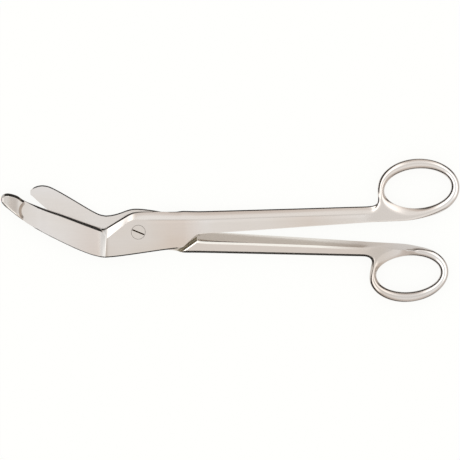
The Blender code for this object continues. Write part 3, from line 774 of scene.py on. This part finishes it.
# %% [markdown]
# ## Relief behind the nose
# Behind the nose the blade is milled down, and the round cutter leaves a curved step with a
# sloping rim. An arc of the cutter's own size gives that step, and a straight one would not.

# %% Relief cut
ARC_STEPS = 40
RELIEF_Z = 1.97               # blade face where it is milled down
RELIEF_CENTRE, RELIEF_R, RELIEF_FLOOR_R = (-48.1, 9.5), 4.85, 3.6
RELIEF_TURN = (127, 222)
RELIEF_TOP = NOSE_Z + 0.5
RELIEF_END = [(-51.2, 5.2), (-50.8, -2.0), (-45.0, -2.0), (-45.0, 20.0), (-50.0, 20.0),
              (-50.4, 14.6)]


def relief_cut():
    """Takes the blade down behind the nose, as far as a round cutter with a sloped rim reached."""
    grow = (RELIEF_R - RELIEF_FLOOR_R) / (NOSE_Z - RELIEF_Z)
    levels = []
    for z in (RELIEF_Z, RELIEF_TOP):
        r = RELIEF_FLOOR_R + (z - RELIEF_Z) * grow
        points = []
        for k in range(ARC_STEPS + 1):
            turn = math.radians(mix(*RELIEF_TURN, k / ARC_STEPS))
            points.append((RELIEF_CENTRE[0] + r * math.cos(turn),
                           RELIEF_CENTRE[1] + r * math.sin(turn)))
        levels.append((z, in_plan(points + RELIEF_END)))
    return loft(levels)


print("the step behind the nose is", round(NOSE_Z - RELIEF_Z, 2), "mm high")

# %% [markdown]
# ## Screw and bores
# The halves turn on one countersunk screw. The probe half has a seat for its head and a clear
# hole, and the plain half holds its thread.
# Screw and bores share their sizes, so that the head always closes its seat almost without a gap.

# %% Sizes of the screw and its bores
HEAD_R, SHAFT_R = 3.15, 1.75
HEAD_Z = FACE_Z - 0.05
HEAD_EDGE = 0.35              # height of the straight edge of the head
HEAD_ROUND, SHAFT_ROUND = 0.1, 0.25
FIT = 0.035                   # free space around the screw
CONE_DROP = 0.03              # the seat lies this much deeper than the head

hole, seat = SHAFT_R + FIT, HEAD_R + FIT
cone_foot = HEAD_Z - HEAD_EDGE - (HEAD_R - SHAFT_R)
head_bore = [(0, -PAST), (hole, -PAST), (hole, cone_foot - CONE_DROP),
             (seat, HEAD_Z - HEAD_EDGE - CONE_DROP), (seat, PAST), (0, PAST)]
thread_bore = [(0, -PAST), (hole, -PAST), (hole, PAST), (0, PAST)]
print("hole", round(2 * hole, 2), "mm, seat", round(2 * seat, 2), "mm across")

# %% [markdown]
# ## Cutting and shading
# Booleans could stay as live modifiers, but the shading needs the edges that they leave behind.
# So a cut body is made real at once. Faces that were ground flat meet at lines that the eye can
# see, and everything else flows: edges that bend more than a few degrees are kept sharp.

# %% Objects and cuts
SHARP_ANGLE = math.radians(13)


def add(name, bm):
    mesh = bpy.data.meshes.new(name)
    bm.to_mesh(mesh)
    bm.free()
    obj = bpy.data.objects.new(name, mesh)
    bpy.context.scene.collection.objects.link(obj)
    return obj


def cut(obj, tool):
    mod = obj.modifiers.new("cut", "BOOLEAN")
    mod.operation = "DIFFERENCE"
    mod.solver = "EXACT"
    mod.object = tool


def make_real(obj, tools, place):
    """Applies the modifiers, removes the cutters, moves the mesh to its place and shades it."""
    bpy.context.view_layer.update()
    shown = obj.evaluated_get(bpy.context.evaluated_depsgraph_get())
    mesh = bpy.data.meshes.new_from_object(shown)
    obj.modifiers.clear()
    obj.data = mesh
    for tool in tools:
        bpy.data.objects.remove(tool, do_unlink=True)
    mesh.transform(place)
    mesh.shade_smooth()
    mesh.set_sharp_from_angle(angle=SHARP_ANGLE)
    print(obj.name, "has", len(mesh.polygons), "faces")

# %% [markdown]
# ## Make the halves
# The cage is smoothed first and cut afterwards, as a forging is ground before it is milled.
# The other order would round the corners of the lap. The plain half is then turned over about
# its length, which brings its face to the table and its shank to the other side.

# %% Make the halves
SMOOTH_STEPS = 3


def make_half(name, half, lap_start, bore):
    bm = cage(half)
    bmesh.ops.scale(bm, vec=(PLAN * MM, PLAN * MM, MM), verts=bm.verts)
    obj = add(name, bm)
    smooth = obj.modifiers.new("smooth", "SUBSURF")
    smooth.levels = SMOOTH_STEPS
    smooth.render_levels = SMOOTH_STEPS
    tools = [add(name + "_lap", lap_cut(lap_start)), add(name + "_groove", groove_cut()),
             add(name + "_bore", turned(bore))]
    if half.nose_sections:
        tools.append(add(name + "_relief", relief_cut()))
    for tool in tools:
        cut(obj, tool)
    place = Matrix.Translation((0, 0, LAP_Z * MM))
    if half.side == FACE_DOWN:
        place = place @ Matrix.Rotation(math.pi, 4, "X")
    make_real(obj, tools, place)
    return obj


front = make_half("front_half", PROBE_HALF, NOSE_STEP, head_bore)
rear = make_half("rear_half", PLAIN_HALF, CLEAR_OF_TIP, thread_bore)

# %% [markdown]
# ## Pivot screw
# The screw is turned in one profile: a countersunk head, ground flush with the box, and a shaft.
# Its thread is out of sight, so the shaft stays plain.
# The slot is sawn, with a flat floor, and stands at the angle where the maker stopped turning.

# %% Turn and slot the screw
SLOT_WIDTH, SLOT_DEPTH = 0.62, 0.9
SLOT_ANGLE = math.radians(-22.5)

screw = add("slotted_screw", turned([
    (0, -LAP_Z), (SHAFT_R - SHAFT_ROUND, -LAP_Z), (SHAFT_R, -LAP_Z + SHAFT_ROUND),
    (SHAFT_R, cone_foot), (HEAD_R, HEAD_Z - HEAD_EDGE), (HEAD_R, HEAD_Z - HEAD_ROUND),
    (HEAD_R - HEAD_ROUND, HEAD_Z), (0, HEAD_Z)]))
reach, half_width = HEAD_R + PAST, SLOT_WIDTH / 2
slot_plan = [(-reach, -half_width), (reach, -half_width), (reach, half_width),
             (-reach, half_width)]
slot_tool = add("slot_tool", loft([(HEAD_Z - SLOT_DEPTH, slot_plan), (HEAD_Z + PAST, slot_plan)]))
slot_tool.data.transform(Matrix.Rotation(SLOT_ANGLE, 4, "Z"))
cut(screw, slot_tool)
make_real(screw, [slot_tool], Matrix.Translation((0, 0, LAP_Z * MM)))

# %% [markdown]
# ## Where the pieces belong
# The scissors open by one hinge. The probe half swings on it, and the plain half carries the
# screw. Each piece stands in for one solid of the frame and moves with that solid's body.

# %% Hang the pieces on the frame
for piece, body, node, slot in (
        (front, "probe_half", "probe_jaw_half", "front_steel"),
        (rear, "plain_half", "plain_jaw_half", "rear_steel"),
        (screw, "plain_half", "pivot_screw", "screw_steel")):
    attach(piece, body)
    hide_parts(node)
    print(piece.name, "moves with", body)

# %% [markdown]
# ## Materials as nested calls
# Steel, paper and sky are all node trees. They could be wired by hand in the shader editor, but
# a script reads more easily when each node is a call and what it takes in is written inside.

# %% Graph
class Graph:
    """A node tree that is written as nested calls."""

    def __init__(self, tree):
        self.tree = tree
        tree.nodes.clear()

    def node(self, kind, **inputs):
        """New node. An input is named as its socket is, with _ for a space, or i and a number."""
        made = self.tree.nodes.new(kind)
        for key, value in inputs.items():
            name = key.replace("_", " ")
            self.link(made.inputs[int(key[1:]) if key[1:].isdigit() else name], value)
        return made

    def link(self, socket, value):
        if isinstance(value, bpy.types.NodeSocket):
            self.tree.links.new(value, socket)
        else:
            socket.default_value = value

    def maths(self, kind, *values, clamp=False):
        made = self.tree.nodes.new("ShaderNodeMath")
        made.operation = kind
        made.use_clamp = clamp
        for k, value in enumerate(values):
            self.link(made.inputs[k], value)
        return made.outputs[0]

    def product(self, first, *others):
        for other in others:
            first = self.maths("MULTIPLY", first, other)
        return first

    def ramp(self, value, low, high, start=0.0, end=1.0):
        """Runs smoothly from start to end while the value goes from low to high."""
        made = self.tree.nodes.new("ShaderNodeMapRange")
        made.interpolation_type = "SMOOTHSTEP"
        for k, item in enumerate((value, low, high, start, end)):
            self.link(made.inputs[k], item)
        return made.outputs[0]

    def vector(self, kind, a, b):
        made = self.tree.nodes.new("ShaderNodeVectorMath")
        made.operation = kind
        self.link(made.inputs[0], a)
        self.link(made.inputs["Scale" if kind == "SCALE" else 1], b)
        return made

    def scale(self, colour, factor):
        return self.vector("SCALE", colour, factor).outputs[0]

    def blend(self, part, a, b):
        """Colour a where part is 0, and b where it is 1."""
        made = self.tree.nodes.new("ShaderNodeMix")
        made.data_type = "RGBA"
        for socket, item in ((0, part), (6, a), (7, b)):
            self.link(made.inputs[socket], item)
        return made.outputs[2]


print("inputs of a node are given by name, or by i and their number")

# %% [markdown]
# ## Tones, streaks and metal
# Three things come back in every finish: a colour that changes along the tool, a noise drawn out
# in the direction of grinding, and the metal itself. Each is a small function on a graph.

# %% Helpers for the finishes
def tones(g, along_it, stops):
    """Colour that changes along a length, from (millimetres, colour) stops."""
    first, last = stops[0][0], stops[-1][0]
    part = g.tree.nodes.new("ShaderNodeMapRange")
    for k, item in enumerate((along_it, first * MM, last * MM)):
        g.link(part.inputs[k], item)
    made = g.node("ShaderNodeValToRGB", Fac=part.outputs[0])
    elements = made.color_ramp.elements
    elements[0].color, elements[1].color = (*stops[0][1], 1.0), (*stops[-1][1], 1.0)
    for x, colour in stops[1:-1]:
        elements.new((x - first) / (last - first)).color = (*colour, 1.0)
    return made.outputs[0]


def streaks(g, place, scale, detail):
    """Noise that is drawn out by a scale of its own along each axis."""
    drawn = g.node("ShaderNodeMapping", Vector=place, Scale=scale)
    noise = g.node("ShaderNodeTexNoise", Vector=drawn.outputs[0], Scale=1.0, Detail=detail)
    return noise.outputs[0]


def metal(g, colour, rough):
    shader = g.node("ShaderNodeBsdfPrincipled", Base_Color=colour, Metallic=1.0, Roughness=rough)
    g.node("ShaderNodeOutputMaterial", Surface=shader.outputs[0])


def new_material(name):
    mat = bpy.data.materials.new(name)
    mat.use_nodes = True
    return mat, Graph(mat.node_tree)


print("noise is measured in metres: a scale of 1000 repeats each millimetre")

# %% [markdown]
# ## Tones along the flats
# One steel, but not one colour. The flat faces are ground by hand, so they are browner and
# warmer around the box and the middle of the shanks, and paler at the jaws and the rings.
# A painted map could hold that. Stops of colour along x do the same and never blur.

# %% Tones of the ground flats
# Stops are (x in millimetres, colour)
PALE, LIGHT, MID = (0.70, 0.671, 0.66), (0.679, 0.643, 0.62), (0.65, 0.603, 0.57)
TAN, BROWN = (0.637, 0.577, 0.54), (0.632, 0.56, 0.51)
SHANK = (0.652, 0.60, 0.567)
RING_DULL, RING_PALE = (0.605, 0.565, 0.54), (0.70, 0.68, 0.667)
NOSE_FLAT = (0.515, 0.475, 0.45)
# painted shade: the fine dark line where the flat of the box begins, as on the rise beside it
CREST_SHADE_LINE = (0.50, 0.45, 0.41)      # a fine dull line where the flat of the box begins
FRONT_FLAT = [(-60, NOSE_FLAT), (-53.8, NOSE_FLAT), (-53.0, PALE), (-52, LIGHT), (-44, PALE),
              (-34, LIGHT), (-22, TAN), (-15.1, TAN), (-14.5, CREST_SHADE_LINE), (-14.0, CREST_SHADE_LINE),
              (-13.2, MID), (4, MID), (14, BROWN), (20, BROWN), (30, LIGHT), (58, LIGHT),
              (76, TAN), (88, MID), (100, LIGHT), (115, MID), (130, MID), (140, RING_PALE),
              (146, RING_PALE)]
REAR_FLAT = [(-48, PALE), (-30, PALE), (-12, LIGHT), (20, SHANK), (60, SHANK), (76, TAN),
             (108, TAN), (116, RING_DULL), (126, RING_DULL), (134, RING_PALE), (140, RING_PALE)]
print(len(FRONT_FLAT), "and", len(REAR_FLAT), "tones along the flats")

# %% [markdown]
# ## Tones along the buffed faces
# Chamfers, bevels and rings are buffed on a wheel. The probe nose is darker, and the brown line
# at its shoulder is painted shade of the step behind it. The rise between blade and box is
# darker too, and darkest in a line near the crest: both are painted shade. On the rear half the
# slanted face is the brightest, which paints in a reflection, and it is darker towards its ring.

# %% Tones of the buffed faces
NOSE_TIP, NOSE = (0.46, 0.43, 0.41), (0.56, 0.53, 0.50)
# painted shade on the sloping step behind the nose
NOSE_SHOULDER_SHADE = (0.38, 0.33, 0.29)
# painted shade on the rise between blade and box, darkest in a line near the crest
RISE_SHADE, RISE_SHADE_LINE = (0.49, 0.47, 0.455), (0.39, 0.38, 0.37)
# the bright tone of the slanted face paints in a reflection; it is darker towards the ring
SCARF_SHEEN, SCARF_END = (0.80, 0.765, 0.72), (0.565, 0.51, 0.468)
FRONT_BUFFED = [(-60, NOSE_TIP), (-58, NOSE), (-54.4, NOSE), (-53.4, NOSE_SHOULDER_SHADE),
                (-51.4, NOSE_SHOULDER_SHADE), (-50.4, PALE), (-16.9, LIGHT), (-15.9, RISE_SHADE),
                (-14.7, RISE_SHADE_LINE), (-14.1, LIGHT), (0, LIGHT), (30, MID), (130, MID),
                (140, RING_PALE), (146, RING_PALE)]
REAR_BUFFED = [(-48, LIGHT), (20, SCARF_SHEEN), (80, SCARF_SHEEN), (98, SCARF_END), (108, SCARF_END),
               (116, RING_DULL), (126, RING_DULL), (134, RING_PALE), (140, RING_PALE)]
print(len(FRONT_BUFFED), "and", len(REAR_BUFFED), "tones along the buffed faces")

# %% [markdown]
# ## Ground or buffed
# The two finishes could be two materials with faces picked by hand. Here the material finds a
# flat face by its normal instead, so the finish follows the shape by itself. Rings are buffed
# all over. Fine noise, drawn out along the shank, gives the ground faces their faint grain.

# %% Flats, clouds and grain
FLAT_FROM, FLAT_FULL = 0.985, 0.998       # how upright a ground face stands
BUFFED_FROM, BUFFED_FULL = 0.098, 0.106   # from here on, in metres, all is buffed
CLOUDS, CLOUD_DETAIL = (26.0, 60.0, 60.0), 2.0
CLOUD_FROM, CLOUD_FULL = 0.35, 0.65
CLOUD_LIGHT, CLOUD_DARK = (1.01, 1.01, 1.015, 1.0), (0.975, 0.955, 0.93, 1.0)
GRAIN, GRAIN_DETAIL = (90.0, 2600.0, 2600.0), 3.0
GRAIN_DEPTH, GRAIN_BASE = 0.06, 0.97


def before_ring(g, x):
    """1 on the shank, 0 on the ring."""
    return g.ramp(x, BUFFED_FROM, BUFFED_FULL, 1.0, 0.0)


def ground_share(g, upright, x):
    """1 on the faces that are ground flat, 0 on the buffed ones."""
    return g.product(g.ramp(g.maths("ABSOLUTE", upright), FLAT_FROM, FLAT_FULL), before_ring(g, x))


def clouds(g, place):
    """Faint warm clouds on the ground faces."""
    part = g.ramp(streaks(g, place, CLOUDS, CLOUD_DETAIL), CLOUD_FROM, CLOUD_FULL)
    return g.blend(part, CLOUD_LIGHT, CLOUD_DARK)


def grain(g, place, scale, detail):
    """Brightness of the fine scratches."""
    return g.maths("MULTIPLY_ADD", streaks(g, place, scale, detail), GRAIN_DEPTH, GRAIN_BASE)


print("scratches are", round(1 / MM / GRAIN[1], 2), "mm wide and", round(1 / MM / GRAIN[0], 1),
      "mm long")

# %% [markdown]
# ## Painted light along the ridge
# The chamfer of the upper shank meets the flat in a fine dark line, with a brighter band beside
# it. Both are painted: the line is painted shade and the band a painted highlight, because the
# shape of the ridge that shows them is far too fine for the mesh.
# The material measures how far a point lies from the ridge and looks up its brightness there.

# %% Ridge line
RIDGE_FROM = 2.0              # the line starts beside the pivot, and has faded in at three times
RIDGE_FACING = (0.3, 0.6)     # how upright the faces are that carry it
# Painted light across the ridge, as (mm from it, brightness): below 1 is painted shade, above 1 a
# painted highlight
RIDGE_PAINTED_LIGHT = [(-1.7, 1.0), (-1.3, 1.04), (-0.45, 1.04), (-0.1, 0.86), (0.15, 0.86), (0.4, 1.0)]
MARK_MOST, RIDGE_MOST = 1.1, 10.0    # ramp colours end at 1, so both are kept as shares of these


def ridge_painted_light(g, x, y, upright):
    """Painted light along the ridge of the upper shank: a highlight beside it, shade on it."""
    line = [(px, (py / RIDGE_MOST, ) * 3) for px, py in RIDGE_LINE if px >= RIDGE_FROM]
    off = g.maths("MULTIPLY_ADD", tones(g, x, line), -RIDGE_MOST * PLAN * MM, y)
    mark = tones(g, off, [(away, (bright / MARK_MOST, ) * 3) for away, bright in RIDGE_PAINTED_LIGHT])
    there = g.product(g.ramp(upright, *RIDGE_FACING),
                      g.ramp(x, RIDGE_FROM * MM, 3 * RIDGE_FROM * MM), before_ring(g, x))
    change = g.maths("SUBTRACT", g.product(mark, MARK_MOST), 1.0)
    return g.maths("MULTIPLY_ADD", there, change, 1.0)


print("the line is", round(RIDGE_PAINTED_LIGHT[4][0] - RIDGE_PAINTED_LIGHT[3][0], 2), "mm wide")

# %% [markdown]
# ## Painted shade in the groove
# The groove at the foot of the shoulder is milled and never polished, so it is rough, and its
# olive brown is painted shade of that deep, narrow crevice. A material of its own would need
# its faces picked after the Boolean, and their numbers change with every edit. Its height and
# place find it just as well.

# %% Groove
# The olive brown of the groove is painted shade, not a colour of the steel
GROOVE_SHADE, GROOVE_ROUGH = (0.46, 0.42, 0.34, 1.0), 0.45
GROOVE_SPAN = (15.5, 26.6)
GROOVE_FACING = (0.1, 0.3)


def groove_shade_mask(g, x, z, upright):
    """1 in the groove at the foot of the shoulder, where its shade is painted, 0 elsewhere."""
    first, last = GROOVE_SPAN
    return g.product(g.ramp(z, (LAP_Z - LAP_GAP) * MM, LAP_Z * MM, 1.0, 0.0),
                     g.ramp(upright, *GROOVE_FACING),
                     g.ramp(x, first * MM, (first + 1) * MM),
                     g.ramp(x, last * MM, (last + 1) * MM, 1.0, 0.0))


print("the groove is sought from", GROOVE_SPAN[0], "to", GROOVE_SPAN[1], "mm")

# %% [markdown]
# ## Steel of the halves
# All of that now goes into one material for each half: the tones, the clouds on the flats, the
# grain everywhere, and a roughness that is higher where the steel is only ground.

# %% Steel
SATIN_ROUGH, BUFFED_ROUGH = 0.3, 0.14


def steel(name, flat_tones, buffed_tones, is_front):
    """Ground and a little cloudy on the flats, and buffed bright elsewhere."""
    mat, g = new_material(name)
    coordinates = g.node("ShaderNodeTexCoord").outputs
    place = coordinates["Object"]
    upright = g.node("ShaderNodeSeparateXYZ", Vector=coordinates["Normal"]).outputs[2]
    x, y, z = g.node("ShaderNodeSeparateXYZ", Vector=place).outputs
    flat = ground_share(g, upright, x)
    shade = grain(g, place, GRAIN, GRAIN_DETAIL)
    rough = g.product(g.ramp(flat, 0.0, 1.0, BUFFED_ROUGH, SATIN_ROUGH), shade)
    if is_front:
        # painted highlight and painted dark line along the ridge of the upper shank
        shade = g.product(shade, ridge_painted_light(g, x, y, upright))
    ground = g.vector("MULTIPLY", tones(g, x, flat_tones), clouds(g, place)).outputs[0]
    colour = g.scale(g.blend(flat, tones(g, x, buffed_tones), ground), shade)
    if not is_front:
        # painted shade in the groove: the colour turns olive brown there
        groove = groove_shade_mask(g, x, z, upright)
        colour = g.blend(groove, colour, GROOVE_SHADE)
        rough = g.ramp(groove, 0.0, 1.0, rough, GROOVE_ROUGH)
    metal(g, colour, rough)
    print(name, "has", len(mat.node_tree.nodes), "nodes")
    return mat


front.data.materials.append(steel("front_steel", FRONT_FLAT, FRONT_BUFFED, True))
rear.data.materials.append(steel("rear_steel", REAR_FLAT, REAR_BUFFED, False))

# %% [markdown]
# ## The screw and its slot
# The head is turned and then ground with the box, so it has the colour of the box.
# A sawn slot is never polished inside, so it is rough, and its dark brown is painted shade:
# the colour darkens with the depth, which needs no faces picked by hand.

# %% Screw steel
SCREW_GROUND, SCREW_ROUGH = (0.65, 0.60, 0.56, 1.0), 0.28
# The dark brown of the slot is painted shade, and the depths below say where it starts
SLOT_SHADE, SLOT_ROUGH = (0.06, 0.03, 0.005, 1.0), 0.7
SLOT_FROM, SLOT_FULL = 0.005, 0.03   # depth below the head where the brown starts and is full
TURNED, TURNED_DETAIL = (300.0, 4000.0, 4000.0), 2.0

screw_steel, g = new_material("screw_steel")
place = g.node("ShaderNodeTexCoord").outputs["Object"]
height = g.node("ShaderNodeSeparateXYZ", Vector=place).outputs[2]
# unshaded is 1 on the head and 0 deep in the slot, where the shade is painted
unshaded = g.ramp(height, (LAP_Z + HEAD_Z - SLOT_FULL) * MM, (LAP_Z + HEAD_Z - SLOT_FROM) * MM)
shade = grain(g, place, TURNED, TURNED_DETAIL)
colour = g.scale(g.blend(unshaded, SLOT_SHADE, SCREW_GROUND), shade)
metal(g, colour, g.ramp(unshaded, 0.0, 1.0, SLOT_ROUGH, SCREW_ROUGH))
screw.data.materials.append(screw_steel)
print("screw_steel has", len(screw_steel.node_tree.nodes), "nodes")

# %% [markdown]
# ## White ground
# The tool lies on white paper. A sheet under plain light may render grey, so for the camera and
# in reflections most of its white is a glow of its own. The rest takes the tool's soft shadow.

# %% Ground
FLOOR_SIDE, FLOOR_DROP = 1.6, 0.0002
WHITE = (1.0, 1.0, 0.984, 1.0)
SHADOW_SHARE = 0.1

sheet = bmesh.new()
bmesh.ops.create_grid(sheet, x_segments=1, y_segments=1, size=FLOOR_SIDE / 2)
floor = add("floor", sheet)
floor.location.z = -FLOOR_DROP
floor_white, g = new_material("floor_white")
rays = g.node("ShaderNodeLightPath").outputs
seen = g.maths("ADD", rays["Is Camera Ray"], rays["Is Glossy Ray"])
seen = g.maths("ADD", seen, rays["Is Transmission Ray"], clamp=True)
paper = g.node("ShaderNodeBsdfDiffuse", Color=WHITE)
glow = g.node("ShaderNodeEmission", Color=WHITE, Strength=1.0)
both = g.node("ShaderNodeMixShader", i0=g.product(seen, 1.0 - SHADOW_SHARE),
              i1=paper.outputs[0], i2=glow.outputs[0])
g.node("ShaderNodeOutputMaterial", Surface=both.outputs[0])
floor.data.materials.append(floor_white)
print("floor", FLOOR_SIDE, "m wide")

# %% [markdown]
# ## A light tent
# A small steel tool shows nothing but its surroundings, so those have to be built.
# Lamps would give it hard spots. A tent of white cloth is even, and here it is the world itself.
# Above the table it has a dark belt all round, which draws the thin dark outline along every
# rounded edge. The belt is paler on the side of the rings, and lower on the side of the viewer.

# %% Belt of the tent
BELT_TOP, BELT_EDGE = 0.28, 0.42             # heights are those of a direction, from 0 to 1
BELT_DARK, BELT_PALE = 0.03, 0.72
TO_JAWS, TO_RINGS, TO_VIEWER = (-0.985, 0.17, 0.0), (0.93, 0.37, 0.0), (0.2, -0.98, 0.0)
PALE_FROM, PALE_FULL = 0.55, 0.9
BELT_LOWER = 0.06                            # how much lower it is towards the viewer
LOW_SKY, HIGH_SKY = 0.87, 1.14
LEAST_LEVEL = 0.0001

world = bpy.data.worlds.new("tent")
bpy.context.scene.world = world
world.use_nodes = True
g = Graph(world.node_tree)
towards = g.node("ShaderNodeTexCoord").outputs["Generated"]
height = g.node("ShaderNodeSeparateXYZ", Vector=towards).outputs[2]
level = g.maths("SUBTRACT", 1.0, g.product(height, height))
level = g.maths("SQRT", g.maths("MAXIMUM", level, LEAST_LEVEL))


def square_to(direction):
    """How squarely the level part of a direction meets a given one."""
    return g.maths("DIVIDE", g.vector("DOT_PRODUCT", towards, direction).outputs["Value"], level)


away = g.product(square_to(TO_JAWS), -1.0)
belt = g.ramp(away, PALE_FROM, PALE_FULL, BELT_DARK, BELT_PALE)
lower = g.product(g.maths("MAXIMUM", square_to(TO_VIEWER), 0.0), BELT_LOWER)
low = g.ramp(g.maths("ADD", height, lower), BELT_TOP, BELT_EDGE, belt, LOW_SKY)
print("belt up to", round(math.degrees(math.asin(BELT_TOP))), "degrees above the table")

# %% [markdown]
# ## Windows in the tent
# Buffed chamfers have a white streak along one side only, and a tent without windows can't give
# that. One bright window stands on the side of the jaws and a fainter one on that of the rings.
# The cloth between them is a little warm low down, and right overhead it is plain white again.

# %% Windows and colour of the tent
# The way to each window, how squarely it is met at its edge and where it is full, its brightness
WINDOWS = [(TO_JAWS, 0.32, 0.54, 0.9), (TO_RINGS, 0.5, 0.8, 0.7)]
WINDOW_LOW, WINDOW_LOW_FULL = 0.31, 0.40
WINDOW_HIGH_FULL, WINDOW_HIGH = 0.8, 0.93
LOW_EDGE, HIGH_EDGE = 0.45, 0.60             # here the low sky turns into the high sky
ZENITH_EDGE, ZENITH_FULL = 0.93, 0.985
WARM = (1.0, 0.92, 0.85, 1.0)

middle = g.ramp(height, LOW_EDGE, HIGH_EDGE, 0.0, HIGH_SKY - LOW_SKY)
zenith = g.ramp(height, ZENITH_EDGE, ZENITH_FULL, 0.0, 1.0 - HIGH_SKY)
window = 0.0
for direction, edge, full, bright in WINDOWS:
    window = g.maths("ADD", g.ramp(square_to(direction), edge, full, 0.0, bright), window)
window = g.product(window, g.ramp(height, WINDOW_LOW, WINDOW_LOW_FULL),
                   g.ramp(height, WINDOW_HIGH_FULL, WINDOW_HIGH, 1.0, 0.0))
tent = g.maths("ADD", g.maths("ADD", g.maths("ADD", low, middle), zenith), window)
mirrored = g.node("ShaderNodeLightPath").outputs["Is Glossy Ray"]
strength = g.node("ShaderNodeMix", i0=mirrored)
for socket, value in ((2, 1.0), (3, tent)):
    g.link(strength.inputs[socket], value)
tint = g.blend(g.maths("MAXIMUM", g.ramp(height, LOW_EDGE, HIGH_EDGE), window), WARM, WHITE)
sky = g.node("ShaderNodeBackground", Color=g.blend(mirrored, WHITE, tint),
             Strength=strength.outputs[0])
g.node("ShaderNodeOutputWorld", Surface=sky.outputs[0])
print(len(WINDOWS), "windows in the tent,", len(world.node_tree.nodes), "nodes in all")

# %% [markdown]
# ## Camera
# The tool is seen from straight above, as in a catalogue. A short lens would show the sides of
# the jaws and rings, so the camera stands far off and has a long one.

# %% Camera
LOOK_AT = (0.0406, 0.00083)
VIEW_WIDTH = 0.20364
VIEW_ROLL = math.radians(-0.2)
CAMERA_HEIGHT = 1.6
SENSOR = 36.0

camera = bpy.data.objects.new("camera", bpy.data.cameras.new("camera"))
bpy.context.scene.collection.objects.link(camera)
camera.location = (*LOOK_AT, CAMERA_HEIGHT)
camera.rotation_euler = (0, 0, VIEW_ROLL)
camera.data.sensor_width = SENSOR
camera.data.lens = SENSOR * (CAMERA_HEIGHT - 2 * LAP_Z * MM) / VIEW_WIDTH
camera.data.clip_start, camera.data.clip_end = 0.1, 20.0
bpy.context.scene.camera = camera
bpy.context.scene.view_settings.view_transform = "Standard"
print("lens", round(camera.data.lens, 1), "mm")
